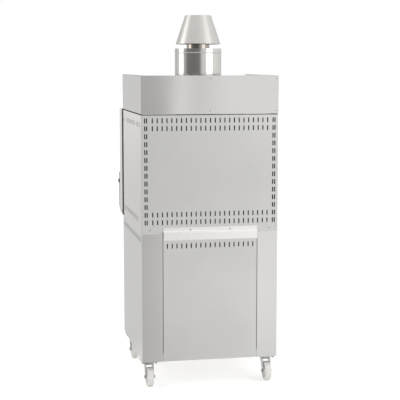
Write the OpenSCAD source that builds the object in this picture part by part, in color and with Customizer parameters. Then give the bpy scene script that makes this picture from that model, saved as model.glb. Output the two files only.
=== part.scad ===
// Charcoal oven on a castor cabinet, with a vented casing, a top surround and a capped flue.
// The front faces -Y, the rear faces +Y, and right means +X.
// The origin is on the floor, in the middle of the whole object's length and width.

/* [Overall] */
// Width over the casings
body_w = 715; // [640:5:900]
// Depth of the base cabinet
cabinet_d = 740; // [680:5:850]
// Height of the base cabinet without its castors
cabinet_h = 670; // [560:5:800]
// Distance of the casing's front behind the cabinet's front
casing_set = 32; // [10:1:60]
// Height of the oven casing
casing_h = 605; // [560:5:700]
// Thickness of the casing sheets
sheet = 1.5; // [1:0.1:2.5]
// Outside radius of a folded edge
bend_r = 3; // [2.6:0.1:6]

/* [Vent slots] */
// Width of one slot
slot_w = 6; // [4:0.5:8]
// Length of one slot
slot_l = 26; // [16:1:32]
// Pitch along a row
slot_pitch = 25; // [14:0.5:40]
// Pitch up a column of the rear casing
column_pitch = 40; // [36:1:60]
// Distance between the two columns of a pair
pair_pitch = 10; // [9:0.5:14]
// Rows of the rear casing that run right across, at its top and again at its bottom
full_rows = 2; // [1:1:4]

/* [Top surround] */
// Distance of the surround's front behind the cabinet's front
shroud_set = 11; // [5:1:40]
// Height of the surround
shroud_h = 195; // [120:1:260]
// Gap between the roof and the surround
shroud_gap = 5; // [3:0.5:12]
// Width of the folded lip round its top
shroud_lip = 23; // [12:1:40]

/* [Flue] */
// Distance of the flue's axis from the rear face
flue_back = 334; // [260:1:400]
// Outside diameter of the sleeve
sleeve_d = 248; // [200:1:300]
// Height of the sleeve above the roof
sleeve_h = 339; // [240:1:420]
// Outside diameter of the inner pipe
pipe_d = 122; // [90:1:150]
// Wall of the sleeve, the pipe and the hat
flue_wall = 1.5; // [1:0.1:2.5]
// Gap between the sleeve and the hat
hat_gap = 23; // [12:1:36]
// Diameter of the hat's rim
hat_base_d = 238; // [190:1:290]
// Diameter of the hat's open top
hat_top_d = 138; // [90:1:180]
// Height of the hat
hat_h = 152; // [90:1:220]

/* [Oven door] */
// Thickness of the door
door_t = 108; // [80:1:130]
// Distance between the casing and the door
door_set = 68; // [54:1:80]
// Thickness of the door's skins
door_skin = 2; // [1.5:0.1:3]
// Outside diameter of the handle bar
bar_d = 20; // [16:1:26]
// Height of the handle bar above the casing's foot
handle_up = 183; // [175:1:260]
// Length of a handle cheek along the door
cheek_l = 222; // [160:1:230]
// Distance that a cheek stands out from the door
cheek_out = 50; // [42:1:70]

/* [Firebox] */
// Thickness of the firebox plates
fire_plate = 3; // [2:0.5:6]
// Thickness of the insulation
wool_t = 40; // [20:1:60]
// Thickness of the fire bricks
brick_t = 30; // [20:1:40]
// Rod diameter of the cooking grids
grid_rod = 8; // [5:0.5:10]
// Pitch of the rods in a cooking grid
grid_pitch = 20; // [14:1:32]

/* [Cabinet] */
// Width of the folded legs beside the rear panel
leg_w = 108; // [80:1:140]
// Gap beside the rear panel
panel_gap = 3; // [2:0.5:5]
// Thickness of the cabinet's doors
leaf_t = 20; // [16:1:26]
// Height of the fixed fascia above the cabinet's doors
fascia_h = 137; // [130:1:180]

/* [Castors] */
// Height of the castors with their pads
castor_h = 138; // [132:1:160]
// Wheel diameter
wheel_d = 100; // [80:1:102]
// Wheel width
wheel_w = 32; // [24:1:36]
// Distance of the axle behind the swivel axis
trail = 30; // [20:1:36]
// Distance of the swivel axes from the cabinet's sides
castor_side = 43.5; // [43.5:0.5:80]
// Distance of the swivel axes from the cabinet's front and rear
castor_end = 74; // [60:1:110]

/* [Hidden] */
$fn = 64;

// How far a cut runs past what it cuts
over = 1;
// Gap between two separate pieces that nearly touch
near = 0.3;
// Radial clearance of a shaft in its bore
run_fit = 0.05;

// Heights above the floor
cabinet_z0 = castor_h;
cabinet_z1 = cabinet_z0 + cabinet_h;
casing_z0 = cabinet_z1;
casing_z1 = casing_z0 + casing_h;
shroud_z0 = casing_z1 + shroud_gap;
shroud_z1 = shroud_z0 + shroud_h;
sleeve_z1 = casing_z1 + sleeve_h;
hat_z0 = sleeve_z1 + hat_gap;

// Half widths of the casing, outside and inside its sheets
half_w = body_w / 2;
inner_w = half_w - sheet;

// Depths of the casings and of the surround, from the rear face
casing_d = cabinet_d - casing_set;
shroud_d = cabinet_d - shroud_set;

// The mouth frame is the dark neck between the casings and the door
door_gap = 6;
neck_l = door_set - door_gap;
neck_front = casing_d + neck_l;

// Distances from the rear face to the oven door and its handle
door_back = casing_d + door_set;
door_front = door_back + door_t;
bar_wall = 5;
bar_y = door_front + cheek_out - bar_d / 2 - bar_wall;

// The strip over the joint between oven and cabinet stands out behind the rear face
cover_step = 10;
cover_reach = cover_step + sheet;

// Place of the rear face, so that the whole object is centred on the origin
rear_y = (door_front + cheek_out - cover_reach) / 2;

// Place of something a distance in front of the rear face
function at(d) = rear_y - d;

// A block between two X values, two distances from the rear face and two heights
module block(x, d, z) {
    translate([x[0], at(d[1]), z[0]])
        cube([x[1] - x[0], d[1] - d[0], z[1] - z[0]]);
}

// Its children, and the same on the other side
module both_sides() {
    children();
    mirror([1, 0, 0])
        children();
}

// Rectangle with rounded corners, made of true arcs
module rounded(size, r) {
    translate([r, 0])
        square([size[0] - 2 * r, size[1]]);
    translate([0, r])
        square([size[0], size[1] - 2 * r]);
    for (x = [r, size[0] - r], y = [r, size[1] - r])
        translate([x, y])
            circle(r);
}

// Ring between two rounded rectangles, its wall inside the size
module rounded_ring(size, r, wall) {
    difference() {
        rounded(size, r);
        translate([wall, wall])
            rounded([size[0] - 2 * wall, size[1] - 2 * wall], max(r - wall, wall / 2));
    }
}

// Turned disc with rounded edges, standing on z = 0
module turned(r, t, edge) {
    rotate_extrude()
        difference() {
            translate([-r, 0])
                rounded([2 * r, t], edge);
            translate([-2 * r, -over])
                square([2 * r, t + 2 * over]);
        }
}

// An X-Z outline made an upright sheet, t thick towards the front
module facing_rear(d, t) {
    translate([0, at(d), 0])
        rotate([90, 0, 0])
            linear_extrude(t)
                children();
}

// A depth-Z outline made an upright sheet, t thick towards +X
module facing_side(x, t) {
    translate([x, rear_y, 0])
        mirror([0, 1, 0])
            rotate([90, 0, 90])
                linear_extrude(t)
                    children();
}

// An X-depth outline made a post between two heights
module standing(z0, z1) {
    translate([0, rear_y, z0])
        mirror([0, 1, 0])
            linear_extrude(z1 - z0)
                children();
}

// Folded U outline: the web on x = 0 between two ends, the flanges towards -X
module folded_u(end0, end1, flange0, flange1, t = sheet, r = bend_r) {
    reach = max(flange0, flange1) + r;
    middle = (end0 + end1) / 2;
    difference() {
        translate([-reach - r, end0])
            rounded([reach + r, end1 - end0], r);
        translate([-reach - 2 * r, end0 + t])
            rounded([reach + 2 * r - t, end1 - end0 - 2 * t], max(r - t, t / 2));
        translate([-reach - 2 * r, end0 - over])
            square([reach + 2 * r - flange0, middle - end0 + over]);
        translate([-reach - 2 * r, middle])
            square([reach + 2 * r - flange1, end1 - middle + over]);
    }
}

// Vent slot with round ends, about its own centre
module slot(w, l) {
    square([w, l - w], center = true);
    for (s = [-1, 1])
        translate([0, s * (l - w) / 2])
            circle(w / 2, $fn = 24);
}

// Row of vent slots from a first place, so many of them, at one height
module slot_row(first, count, z) {
    for (i = [0 : count - 1])
        translate([first + i * slot_pitch, z])
            slot(slot_w, slot_l);
}

// Rear casing: a shallow folded pan with full rows and paired side columns of slots
rear_return = 10;
row_margin = 57.5;
pair_margin = 18.5;
slot_foot = 58;
slot_head = 27;
slot_rows = floor((casing_h - slot_foot - slot_head) / column_pitch) + 1;
row_count = floor(2 * (half_w - row_margin) / slot_pitch) + 1;

module rear_slots() {
    for (i = [0 : slot_rows - 1]) {
        z = casing_z0 + slot_foot + i * column_pitch;
        for (s = [-1, 1], k = [0, 1])
            translate([s * (half_w - pair_margin - k * pair_pitch), z])
                slot(slot_w, slot_l);
        if (i < full_rows || i >= slot_rows - full_rows)
            slot_row(-(row_count - 1) * slot_pitch / 2, row_count, z);
    }
}

module rear_casing() {
    color("silver")
    difference() {
        standing(casing_z0, casing_z1 - sheet)
            rotate(-90)
                folded_u(-half_w, half_w, rear_return, rear_return);
        facing_rear(-over, sheet + 2 * over)
            rear_slots();
    }
}

// Side casings: folded at both ends, a row of slots near the top and one near the foot
front_return = 12.5;
side_slot_down = 49;
side_slot_up = 63;
side_first = 52;
side_count = 6;
side_skip = 61;
side_more = 14;
side_pair = 35;
side_low_first = 137;
side_low_count = 22;

module side_slots() {
    high = casing_z1 - side_slot_down;
    slot_row(side_first, side_count, high);
    slot_row(side_first + (side_count - 1) * slot_pitch + side_skip, side_more, high);
    for (s = [-1, 1])
        translate([casing_d - side_pair + s * pair_pitch / 2, high])
            slot(slot_w, slot_l);
    slot_row(side_low_first, side_low_count, casing_z0 + side_slot_up);
}

module side_casing() {
    color("silver")
    difference() {
        translate([half_w, 0, 0])
            standing(casing_z0, casing_z1 - sheet)
                folded_u(rear_return + near, casing_d, front_return, front_return);
        facing_side(half_w - sheet - over, sheet + 2 * over)
            side_slots();
    }
}

// Roof: lies on the casings, open round the flue pipe
pipe_r = pipe_d / 2;

module roof() {
    color("gainsboro")
    difference() {
        standing(casing_z1 - sheet, casing_z1)
            translate([-half_w, 0])
                rounded([body_w, casing_d], bend_r);
        translate([0, at(flue_back), casing_z1 - sheet - over])
            cylinder(r = pipe_r + near, h = sheet + 2 * over);
    }
}

// Base frame: a ring of channels that carries the firebox on its inner edge
air_gap = 21;
fire_half = inner_w - wool_t - air_gap;
frame_h = 40;
frame_wall = 2;
frame_bearing = 10;
frame_half = inner_w - bend_r;
frame_back = rear_return + near + sheet;
frame_front = casing_d - sheet;
frame_w = frame_half - fire_half + frame_bearing;

module base_frame() {
    color("dimgray")
    difference() {
        block([-frame_half, frame_half], [frame_back, frame_front],
            [casing_z0, casing_z0 + frame_h]);
        block([frame_w - frame_half, frame_half - frame_w],
            [frame_back + frame_w, frame_front - frame_w],
            [casing_z0 - over, casing_z0 + frame_h + over]);
        block([frame_wall - frame_half, frame_half - frame_wall],
            [frame_back + frame_wall, frame_front - frame_wall],
            [casing_z0 + frame_wall, casing_z0 + frame_h - frame_wall]);
    }
}

// Firebox: a steel box, open at the front, with the flue's hole in its top
fire_back = 60;
fire_head = 45;
fire_z0 = casing_z0 + frame_h;
fire_z1 = casing_z1 - fire_head;
fire_in = fire_half - fire_plate;
neck_plate = 3;

module firebox() {
    color("dimgray")
    difference() {
        block([-fire_half, fire_half], [fire_back, neck_front - neck_plate], [fire_z0, fire_z1]);
        block([-fire_in, fire_in], [fire_back + fire_plate, neck_front],
            [fire_z0 + fire_plate, fire_z1 - fire_plate]);
        translate([0, at(flue_back), fire_z1 - fire_plate - over])
            cylinder(r = pipe_r + near, h = fire_plate + 2 * over);
    }
}

// Mouth frame: a ring round the firebox's mouth, its outer wall set inside the casing's fold
mouth_edge = 12;
mouth_half = fire_in - mouth_edge;
mouth_z0 = fire_z0 + fire_plate + mouth_edge;
mouth_z1 = fire_z1 - fire_plate - mouth_edge;
neck_half = half_w - front_return;
neck_foot = 6;
neck_tuck = 20;
neck_z0 = casing_z0 + neck_foot;
neck_z1 = casing_z1 - sheet;

module mouth_frame() {
    color("darkslategray")
    difference() {
        block([-neck_half, neck_half], [casing_d, neck_front], [neck_z0, neck_z1]);
        block([neck_plate - neck_half, neck_half - neck_plate],
            [casing_d - over, neck_front - neck_plate],
            [neck_z0 + neck_plate, neck_z1 - neck_plate]);
        block([-mouth_half, mouth_half], [casing_d, neck_front + over], [mouth_z0, mouth_z1]);
    }
    color("darkslategray")
    both_sides()
        block([neck_half - neck_plate, neck_half], [casing_d - neck_tuck, casing_d + over],
            [casing_z0 + frame_h, neck_z1 - neck_plate]);
}

// Insulation: slabs against the firebox, with an air gap left inside the casings
wool_gap = 5;
wool_front = casing_d - neck_tuck - wool_gap;
wool_hole = 22;

module insulation() {
    color("khaki")
    both_sides()
        block([fire_half, fire_half + wool_t], [fire_back, wool_front], [fire_z0, fire_z1]);
    color("khaki")
    block([-fire_half, fire_half], [fire_back - wool_t, fire_back], [fire_z0, fire_z1]);
    color("khaki")
    difference() {
        block([-fire_half, fire_half], [fire_back, wool_front], [fire_z1, fire_z1 + wool_t]);
        translate([0, at(flue_back), fire_z1 - over])
            cylinder(r = pipe_r + wool_hole, h = wool_t + 2 * over);
    }
}

// Fire bricks: two courses along the sides and across the rear
brick_rows = 2;
brick_cols = 4;
brick_joint = 1.5;
brick_h = 90;
brick_z0 = fire_z0 + fire_plate;
brick_z1 = brick_z0 + brick_rows * (brick_h + brick_joint);
brick_back = fire_back + fire_plate;
brick_end = 24;
brick_front = neck_front - neck_plate - brick_end;
bed_half = fire_in - brick_t;

// The share of a length that the first i of n equal parts take
function share(i, n) = i / n;

module fire_bricks() {
    side_l = brick_front - brick_back;
    color("burlywood")
    for (row = [0 : brick_rows - 1], col = [0 : brick_cols - 1]) {
        z = brick_z0 + row * (brick_h + brick_joint);
        both_sides()
            block([bed_half, fire_in],
                [brick_back + side_l * share(col, brick_cols),
                 brick_back + side_l * share(col + 1, brick_cols) - brick_joint],
                [z, z + brick_h]);
        block([-bed_half + 2 * bed_half * share(col, brick_cols) + brick_joint / 2,
               -bed_half + 2 * bed_half * share(col + 1, brick_cols) - brick_joint / 2],
            [brick_back, brick_back + brick_t],
            [z, z + brick_h]);
    }
}

// Side racks: three posts and three ledges a side, standing on the bricks
rack_t = 3;
rack_ledge = 22;
rack_gap = 80;
rack_levels = 3;
rack_up = 44;
rack_post = 20;
rack_posts = 3;
rack_z0 = brick_z1 - brick_joint + rack_up;
rack_z1 = rack_z0 + (rack_levels - 1) * rack_gap + rack_post;
rack_front = brick_front - mouth_edge;

module grid_racks() {
    color("gray")
    both_sides() {
        for (i = [0 : rack_levels - 1])
            block([fire_in - rack_ledge, fire_in], [brick_back, rack_front],
                [rack_z0 + i * rack_gap, rack_z0 + i * rack_gap + rack_t]);
        for (i = [0 : rack_posts - 1]) {
            d = brick_back + (rack_front - brick_back - rack_post) * share(i, rack_posts - 1);
            block([fire_in - rack_t, fire_in], [d, d + rack_post],
                [brick_z1 - brick_joint, rack_z1]);
        }
    }
}

// Charcoal grate: a slotted casting on four legs, over the ash pan
grate_t = 14;
grate_up = 88;
grate_z = brick_z0 + grate_up;
grate_gap = 4;
grate_half = bed_half - grate_gap;
grate_back = brick_back + brick_t + grate_gap;
grate_front = brick_front - mouth_edge;
grate_rim = 22;
grate_slot = 12;
grate_pitch = 27;
grate_leg = 18;
grate_rows = 2;
grate_count = floor((2 * (grate_half - grate_rim) - grate_slot) / grate_pitch) + 1;

module charcoal_grate() {
    field = grate_front - grate_back - (grate_rows + 1) * grate_rim;
    slot_len = field / grate_rows;
    color("darkgray")
    difference() {
        standing(grate_z, grate_z + grate_t)
            translate([-grate_half, grate_back])
                rounded([2 * grate_half, grate_front - grate_back], grate_slot);
        standing(grate_z - over, grate_z + grate_t + over)
            for (row = [0 : grate_rows - 1], i = [0 : grate_count - 1])
                translate([(i - (grate_count - 1) / 2) * grate_pitch,
                        grate_back + grate_rim + slot_len / 2 + row * (slot_len + grate_rim)])
                    slot(grate_slot, slot_len);
    }
    color("darkgray")
    both_sides()
        for (d = [grate_back, grate_front - grate_leg])
            block([grate_half - grate_leg, grate_half], [d, d + grate_leg], [brick_z0, grate_z]);
}

// Ash pan: a folded tray with a pull lip, lying on the firebox floor between the grate's legs
pan_h = 46;
pan_gap = 8;
pan_r = 10;
pan_half = grate_half - grate_leg - pan_gap;
pan_lip = 16;

module ash_pan() {
    front = grate_front - pan_lip;
    color("slategray")
    difference() {
        standing(brick_z0, brick_z0 + pan_h)
            translate([-pan_half, grate_back])
                rounded([2 * pan_half, front - grate_back], pan_r);
        standing(brick_z0 + sheet, brick_z0 + pan_h + over)
            translate([sheet - pan_half, grate_back + sheet])
                rounded([2 * (pan_half - sheet), front - grate_back - 2 * sheet], pan_r - sheet);
    }
    color("slategray")
    block([-pan_half / 2, pan_half / 2], [front - sheet, front + pan_lip],
        [brick_z0 + pan_h - sheet, brick_z0 + pan_h]);
}

// Cooking grid: round rods between two flat end bars, a middle bar under them, two pull loops
grid_bar_h = 14;
grid_bar_t = 5;
grid_side = 2;
grid_half = fire_in - rack_t - grid_side;
grid_back = brick_back + mouth_edge;
grid_front = rack_front - mouth_edge;
grid_edge = 12;
grid_count = floor(2 * (grid_half - grid_edge) / grid_pitch) + 1;
grid_loop_r = 22;
grid_loop_share = 0.5;
grid_bite = 0.5;

module cooking_grid(level) {
    z0 = rack_z0 + level * rack_gap + rack_t;
    rod_z = z0 + grid_bar_h - grid_rod / 2 - grid_bite;
    color("gainsboro") {
        for (d = [grid_back, grid_front - grid_bar_t])
            block([-grid_half, grid_half], [d, d + grid_bar_t], [z0, z0 + grid_bar_h]);
        block([-grid_half, grid_half],
            [(grid_back + grid_front - grid_bar_t) / 2, (grid_back + grid_front + grid_bar_t) / 2],
            [z0, rod_z - grid_rod / 2 + grid_bite]);
        for (i = [0 : grid_count - 1])
            translate([(i - (grid_count - 1) / 2) * grid_pitch, at(grid_back + grid_bar_t / 2), rod_z])
                rotate([90, 0, 0])
                    cylinder(d = grid_rod, h = grid_front - grid_back - grid_bar_t);
        for (s = [-1, 1])
            translate([s * grid_half * grid_loop_share, at(grid_front - grid_bar_t / 2), rod_z])
                rotate([0, 0, 180])
                    rotate_extrude(angle = 180)
                        translate([grid_loop_r, 0])
                            circle(d = grid_rod);
    }
}

// Flue pipe: rises from the firebox through the roof and the sleeve into the hat
pipe_up = 41;
pipe_z0 = fire_z1 - fire_plate;
pipe_z1 = sleeve_z1 + pipe_up;
collar_w = 16;
collar_t = 3;
damper_up = 96;
damper_z = casing_z1 + damper_up;
shaft_r = 4;

// A hole along Y for the damper's shaft, between two distances from the flue's axis
module shaft_hole(r, from, to) {
    translate([0, at(flue_back) + from, damper_z])
        rotate([90, 0, 0])
            cylinder(r = r, h = from + to);
}

module flue_pipe() {
    color("lightgray")
    difference() {
        translate([0, at(flue_back), pipe_z0]) {
            cylinder(r = pipe_r, h = pipe_z1 - pipe_z0);
            translate([0, 0, fire_plate])
                cylinder(r = pipe_r + collar_w, h = collar_t);
        }
        translate([0, at(flue_back), pipe_z0 - over])
            cylinder(r = pipe_r - flue_wall, h = pipe_z1 - pipe_z0 + 2 * over);
        shaft_hole(shaft_r + run_fit, pipe_r + over, pipe_r + over);
    }
}

// Sleeve: a polished tube on a flat foot ring, with a hole in front for the damper's shaft
sleeve_r = sleeve_d / 2;
sleeve_foot = 14;
swage_down = 22;
swage_r = 3;
swage_out = 1.5;
swage_facets = 32;

module flue_sleeve() {
    color("lightgray")
    difference() {
        translate([0, at(flue_back), casing_z1]) {
            cylinder(r = sleeve_r, h = sleeve_h);
            cylinder(r = sleeve_r + sleeve_foot, h = flue_wall);
            translate([0, 0, sleeve_h - swage_down])
                rotate_extrude()
                    translate([sleeve_r + swage_out - swage_r, 0])
                        circle(swage_r, $fn = swage_facets);
        }
        translate([0, at(flue_back), casing_z1 - over])
            cylinder(r = sleeve_r - flue_wall, h = sleeve_h + 2 * over);
        translate([0, at(flue_back + sleeve_r - 2 * flue_wall), damper_z])
            rotate([90, 0, 0])
                cylinder(r = shaft_r + near, h = 4 * flue_wall);
    }
}

// Hat: a spun cone, open at the top, with a beaded rim
hat_r0 = hat_base_d / 2;
hat_r1 = hat_top_d / 2;
bead_r = 3;

module hat() {
    color("whitesmoke")
    translate([0, at(flue_back), hat_z0])
        rotate_extrude() {
            polygon([[hat_r0 - flue_wall, bead_r], [hat_r0, bead_r],
                [hat_r1, hat_h], [hat_r1 - flue_wall, hat_h]]);
            translate([hat_r0 - bead_r, bead_r])
                circle(bead_r, $fn = 24);
        }
}

// Spider: low fins centre the pipe in the sleeve, and high arms carry the hat on the pipe
spider_arms = 3;
spider_t = 3;
spider_turn = 90;
fin_h = 40;
fin_down = 60;
arm_up = 9;
arm_h = 20;
hat_slope_share = (hat_r0 - hat_r1) / (hat_h - bead_r);

// Inside radius of the hat at a height above its rim
function hat_in(h) = hat_r0 - flue_wall - (h - bead_r) * hat_slope_share - near;

module flue_spider() {
    color("gray")
    translate([0, at(flue_back), 0])
        for (i = [0 : spider_arms - 1])
            rotate([0, 0, spider_turn + i * 360 / spider_arms])
                rotate([90, 0, 0])
                    translate([0, 0, -spider_t / 2])
                        linear_extrude(spider_t) {
                            translate([pipe_r + near, sleeve_z1 - fin_down])
                                square([sleeve_r - flue_wall - pipe_r - 2 * near, fin_h]);
                            polygon([[pipe_r + near, hat_z0 + arm_up],
                                [hat_in(arm_up), hat_z0 + arm_up],
                                [hat_in(arm_up + arm_h), hat_z0 + arm_up + arm_h],
                                [pipe_r + near, hat_z0 + arm_up + arm_h]]);
                        }
}

// Damper: a disc on a tubular hub, upright in the pipe when open
damper_t = 2;
damper_gap = 1.2;
damper_hub = 7;
hub_short = 8;

module damper_disc() {
    r = pipe_r - flue_wall - damper_gap;
    color("darkgray")
    translate([0, at(flue_back), damper_z])
        difference() {
            union() {
                rotate([0, 90, 0])
                    translate([0, 0, -damper_t / 2])
                        cylinder(r = r, h = damper_t);
                rotate([90, 0, 0])
                    translate([0, 0, hub_short - r])
                        cylinder(r = damper_hub, h = 2 * (r - hub_short));
            }
            rotate([90, 0, 0])
                translate([0, 0, -r - over])
                    cylinder(r = shaft_r, h = 2 * (r + over));
        }
}

// Damper shaft: runs to the front of the sleeve and ends in a turned knob with a lever
shaft_back = 6;
shaft_out = 34;
knob_r = 12;
knob_l = 18;
knob_edge = 3;
lever_l = 52;
lever_w = 12;
lever_t = 5;

module damper_shaft() {
    color("gray")
    translate([0, at(flue_back), damper_z])
        rotate([90, 0, 0]) {
            translate([0, 0, -pipe_r - shaft_back])
                cylinder(r = shaft_r, h = pipe_r + shaft_back + sleeve_r + shaft_out);
            translate([0, 0, sleeve_r + shaft_out])
                turned(knob_r, knob_l, knob_edge);
            translate([0, 0, sleeve_r + shaft_out])
                linear_extrude(lever_t) {
                    translate([-lever_w / 2, 0])
                        square([lever_w, lever_l]);
                    translate([0, lever_l])
                        circle(lever_w / 2);
                }
        }
}

// Surround: a rear wall between two side walls, all with folded lips, on low feet
foot_r = 9;
foot_in = 14;
shroud_foot_share = 0.12;

module shroud_foot(x, d) {
    translate([x, at(d), casing_z1])
        cylinder(r = foot_r, h = shroud_gap + sheet);
}

module shroud_rear() {
    lip_half = half_w - shroud_lip - near;
    color("silver") {
        facing_side(-lip_half, 2 * lip_half)
            mirror([1, 0])
                folded_u(shroud_z0, shroud_z1, shroud_lip, shroud_lip);
        facing_rear(0, sheet)
            translate([-half_w, shroud_z0])
                rounded([body_w, shroud_h], bend_r);
        for (s = [-1, 1])
            shroud_foot(s * lip_half / 2, foot_in);
    }
}

module shroud_side() {
    color("silver") {
        facing_rear(sheet, shroud_d - sheet)
            translate([half_w, 0])
                folded_u(shroud_z0, shroud_z1, shroud_lip, shroud_lip);
        block([inner_w - shroud_lip, inner_w], [sheet, 2 * sheet],
            [shroud_z0 + sheet, shroud_z1 - sheet]);
        for (s = [shroud_foot_share, 1 - shroud_foot_share])
            shroud_foot(half_w - foot_in, s * shroud_d);
    }
}

// Hinge brackets: an ear in a notch of each lower corner of the door, on a foot against the casing
door_half = half_w;
door_sill = 6;
door_over = 5;
door_z0 = casing_z0 + door_sill;
door_z1 = casing_z1 + door_over;
hinge_r = 6;
hinge_back = 9;
hinge_up = 9;
hinge_y = door_back + hinge_back;
hinge_z = door_z0 + hinge_up;
ear_t = 4;
ear_r = 12;
ear_gap = 0.6;
ear_x = door_half - ear_t;
ear_foot_h = 60;
notch_r = ear_r + ear_gap;

module hinge_brackets() {
    color("darkslategray")
    both_sides() {
        difference() {
            facing_side(ear_x, ear_t) {
                translate([hinge_y, hinge_z])
                    circle(ear_r);
                translate([casing_d, hinge_z - ear_r])
                    square([hinge_y - casing_d, 2 * ear_r]);
                translate([casing_d, hinge_z - ear_r])
                    square([ear_r, ear_foot_h]);
            }
            translate([ear_x - over, at(hinge_y), hinge_z])
                rotate([0, 90, 0])
                    cylinder(r = hinge_r + run_fit, h = ear_t + 2 * over);
        }
        block([neck_half + near, door_half], [casing_d, casing_d + ear_t],
            [hinge_z - ear_r, hinge_z - ear_r + ear_foot_h]);
    }
}

// Room for the ears in the lower corners of the door
module ear_notches() {
    both_sides()
        block([ear_x - ear_gap, door_half + over], [door_back - over, hinge_y + notch_r],
            [door_z0 - over, hinge_z + notch_r]);
}

// Door pan: outer skin with rounded edges above and below, open towards the oven
door_r = 12;

// Depth-Z outline of the pan, less a margin all round
module door_outline(less) {
    difference() {
        translate([door_back - door_r, door_z0 + less])
            rounded([door_t + door_r - less, door_z1 - door_z0 - 2 * less], door_r - less);
        translate([door_back - 2 * door_r, door_z0])
            square([2 * door_r + door_skin, door_z1 - door_z0]);
    }
}

module door_outer() {
    color("lightgray")
    difference() {
        facing_side(-door_half, 2 * door_half)
            door_outline(0);
        facing_side(door_skin - door_half, 2 * (door_half - door_skin)) {
            door_outline(door_skin);
            translate([door_back, door_z0 + door_skin])
                square([door_t / 2, door_z1 - door_z0 - 2 * door_skin]);
        }
        ear_notches();
    }
}

// Door liner: a flat plate that closes the pan and a raised plug that enters the mouth
plug_out = 26;
plug_gap = 18;
plug_half = mouth_half - plug_gap;
plug_z0 = mouth_z0 + plug_gap;
plug_z1 = mouth_z1 - plug_gap;
plug_r = 12;

module door_inner() {
    color("gray")
    difference() {
        union() {
            block([-door_half, door_half], [door_back, door_back + door_skin],
                [door_z0, door_z1]);
            facing_rear(door_back - plug_out, plug_out + door_skin)
                translate([-plug_half, plug_z0])
                    rounded([2 * plug_half, plug_z1 - plug_z0], plug_r);
        }
        facing_rear(door_back - plug_out + door_skin, plug_out + over)
            translate([door_skin - plug_half, plug_z0 + door_skin])
                rounded([2 * (plug_half - door_skin), plug_z1 - plug_z0 - 2 * door_skin],
                    plug_r - door_skin);
        ear_notches();
    }
}

// Door insulation: one slab that fills the pan between the skins
hinge_block_l = 24;
hinge_block_wall = 3;
hinge_block_r = notch_r + hinge_block_wall;
slab_gap = 4;

module door_insulation() {
    slab_half = door_half - door_skin - slab_gap;
    color("khaki")
    block([-slab_half, slab_half],
        [door_back + door_skin, door_front - door_skin - slab_gap],
        [hinge_z + hinge_block_r + slab_gap, door_z1 - door_skin - slab_gap]);
}

// Door seal: a flat rope round the plug, just clear of the mouth frame
seal_w = 12;
seal_gap = 6;

module door_gasket() {
    w = 2 * (mouth_half + seal_gap + seal_w);
    h = mouth_z1 - mouth_z0 + 2 * (seal_gap + seal_w);
    color("dimgray")
    facing_rear(neck_front + near, door_gap - near)
        translate([-w / 2, mouth_z0 - seal_gap - seal_w])
            rounded_ring([w, h], plug_r + seal_w, seal_w);
}

// Hinge pins: each runs through the bracket's ear into a block inside the door
module hinge_pins() {
    block_x = ear_x - ear_gap;
    color("gray")
    both_sides() {
        translate([block_x - over, at(hinge_y), hinge_z])
            rotate([0, 90, 0])
                cylinder(r = hinge_r, h = door_half - block_x + over);
        block([block_x - hinge_block_l, block_x],
            [door_back + door_skin, hinge_y + hinge_block_r],
            [door_z0 + door_skin, hinge_z + hinge_block_r]);
    }
}

// Handle: a full-width bar in two folded cheeks, with dark end caps
handle_z = casing_z0 + handle_up;
cap_l = 5;
cap_rim = 1;
cap_edge = 2;
cheek_t = 5;
cheek_x = door_half - cheek_t;
cheek_up = 56;
cheek_z1 = handle_z + cheek_up;
cheek_z0 = cheek_z1 - cheek_l;
cheek_foot = 15;
cheek_head = 4;
cheek_r = 10;
bar_fit = 0.2;
pad_w = 20;
pad_d = 3;

module handle_bar() {
    color("gainsboro")
    translate([-door_half, at(bar_y), handle_z])
        rotate([0, 90, 0])
            cylinder(d = bar_d, h = 2 * door_half);
}

module handle_caps() {
    color("black")
    both_sides()
        translate([door_half, at(bar_y), handle_z])
            rotate([0, 90, 0])
                turned(bar_d / 2 + cap_rim, cap_l, cap_edge);
}

// Depth-Z outline of a cheek: slanting ends and two rounded outer corners
module cheek_outline() {
    far = door_front + cheek_out;
    low = [far - cheek_r, cheek_z0 + cheek_foot + cheek_r];
    high = [far - cheek_r, cheek_z1 - cheek_head - cheek_r];
    polygon([[door_front, cheek_z0], touch([door_front, cheek_z0], low, cheek_r, 1), low,
        [far, low[1]], [far, high[1]], high,
        touch([door_front, cheek_z1], high, cheek_r, -1), [door_front, cheek_z1]]);
    for (c = [low, high])
        translate(c)
            circle(cheek_r);
}

module handle_brackets() {
    color("silver")
    both_sides() {
        difference() {
            facing_side(cheek_x, cheek_t)
                cheek_outline();
            translate([cheek_x - over, at(bar_y), handle_z])
                rotate([0, 90, 0])
                    cylinder(r = bar_d / 2 + bar_fit, h = cheek_t + 2 * over);
        }
        block([cheek_x - pad_w, cheek_x + over], [door_front, door_front + pad_d],
            [cheek_z0, cheek_z1]);
    }
}

// Thermometer: a turned case with a recessed dial, a needle on its pin, and a glass
gauge_r = 36;
gauge_t = 13;
gauge_rim = 4;
gauge_floor = 3;
gauge_up = 420;
gauge_z = casing_z0 + gauge_up;
gauge_pin_r = 2;
gauge_pin_l = 4;
glass_t = 2;
glass_in = 1;
needle_hub = 5;
needle_t = 1;
needle_up = 1.5;
needle_l = 25;
needle_w = 3;
needle_tail_share = 0.4;
needle_rest = 135;

// Puts its children on the door's front face, their +Z towards the front
module on_gauge(out) {
    translate([0, at(door_front + out), gauge_z])
        rotate([90, 0, 0])
            children();
}

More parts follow.
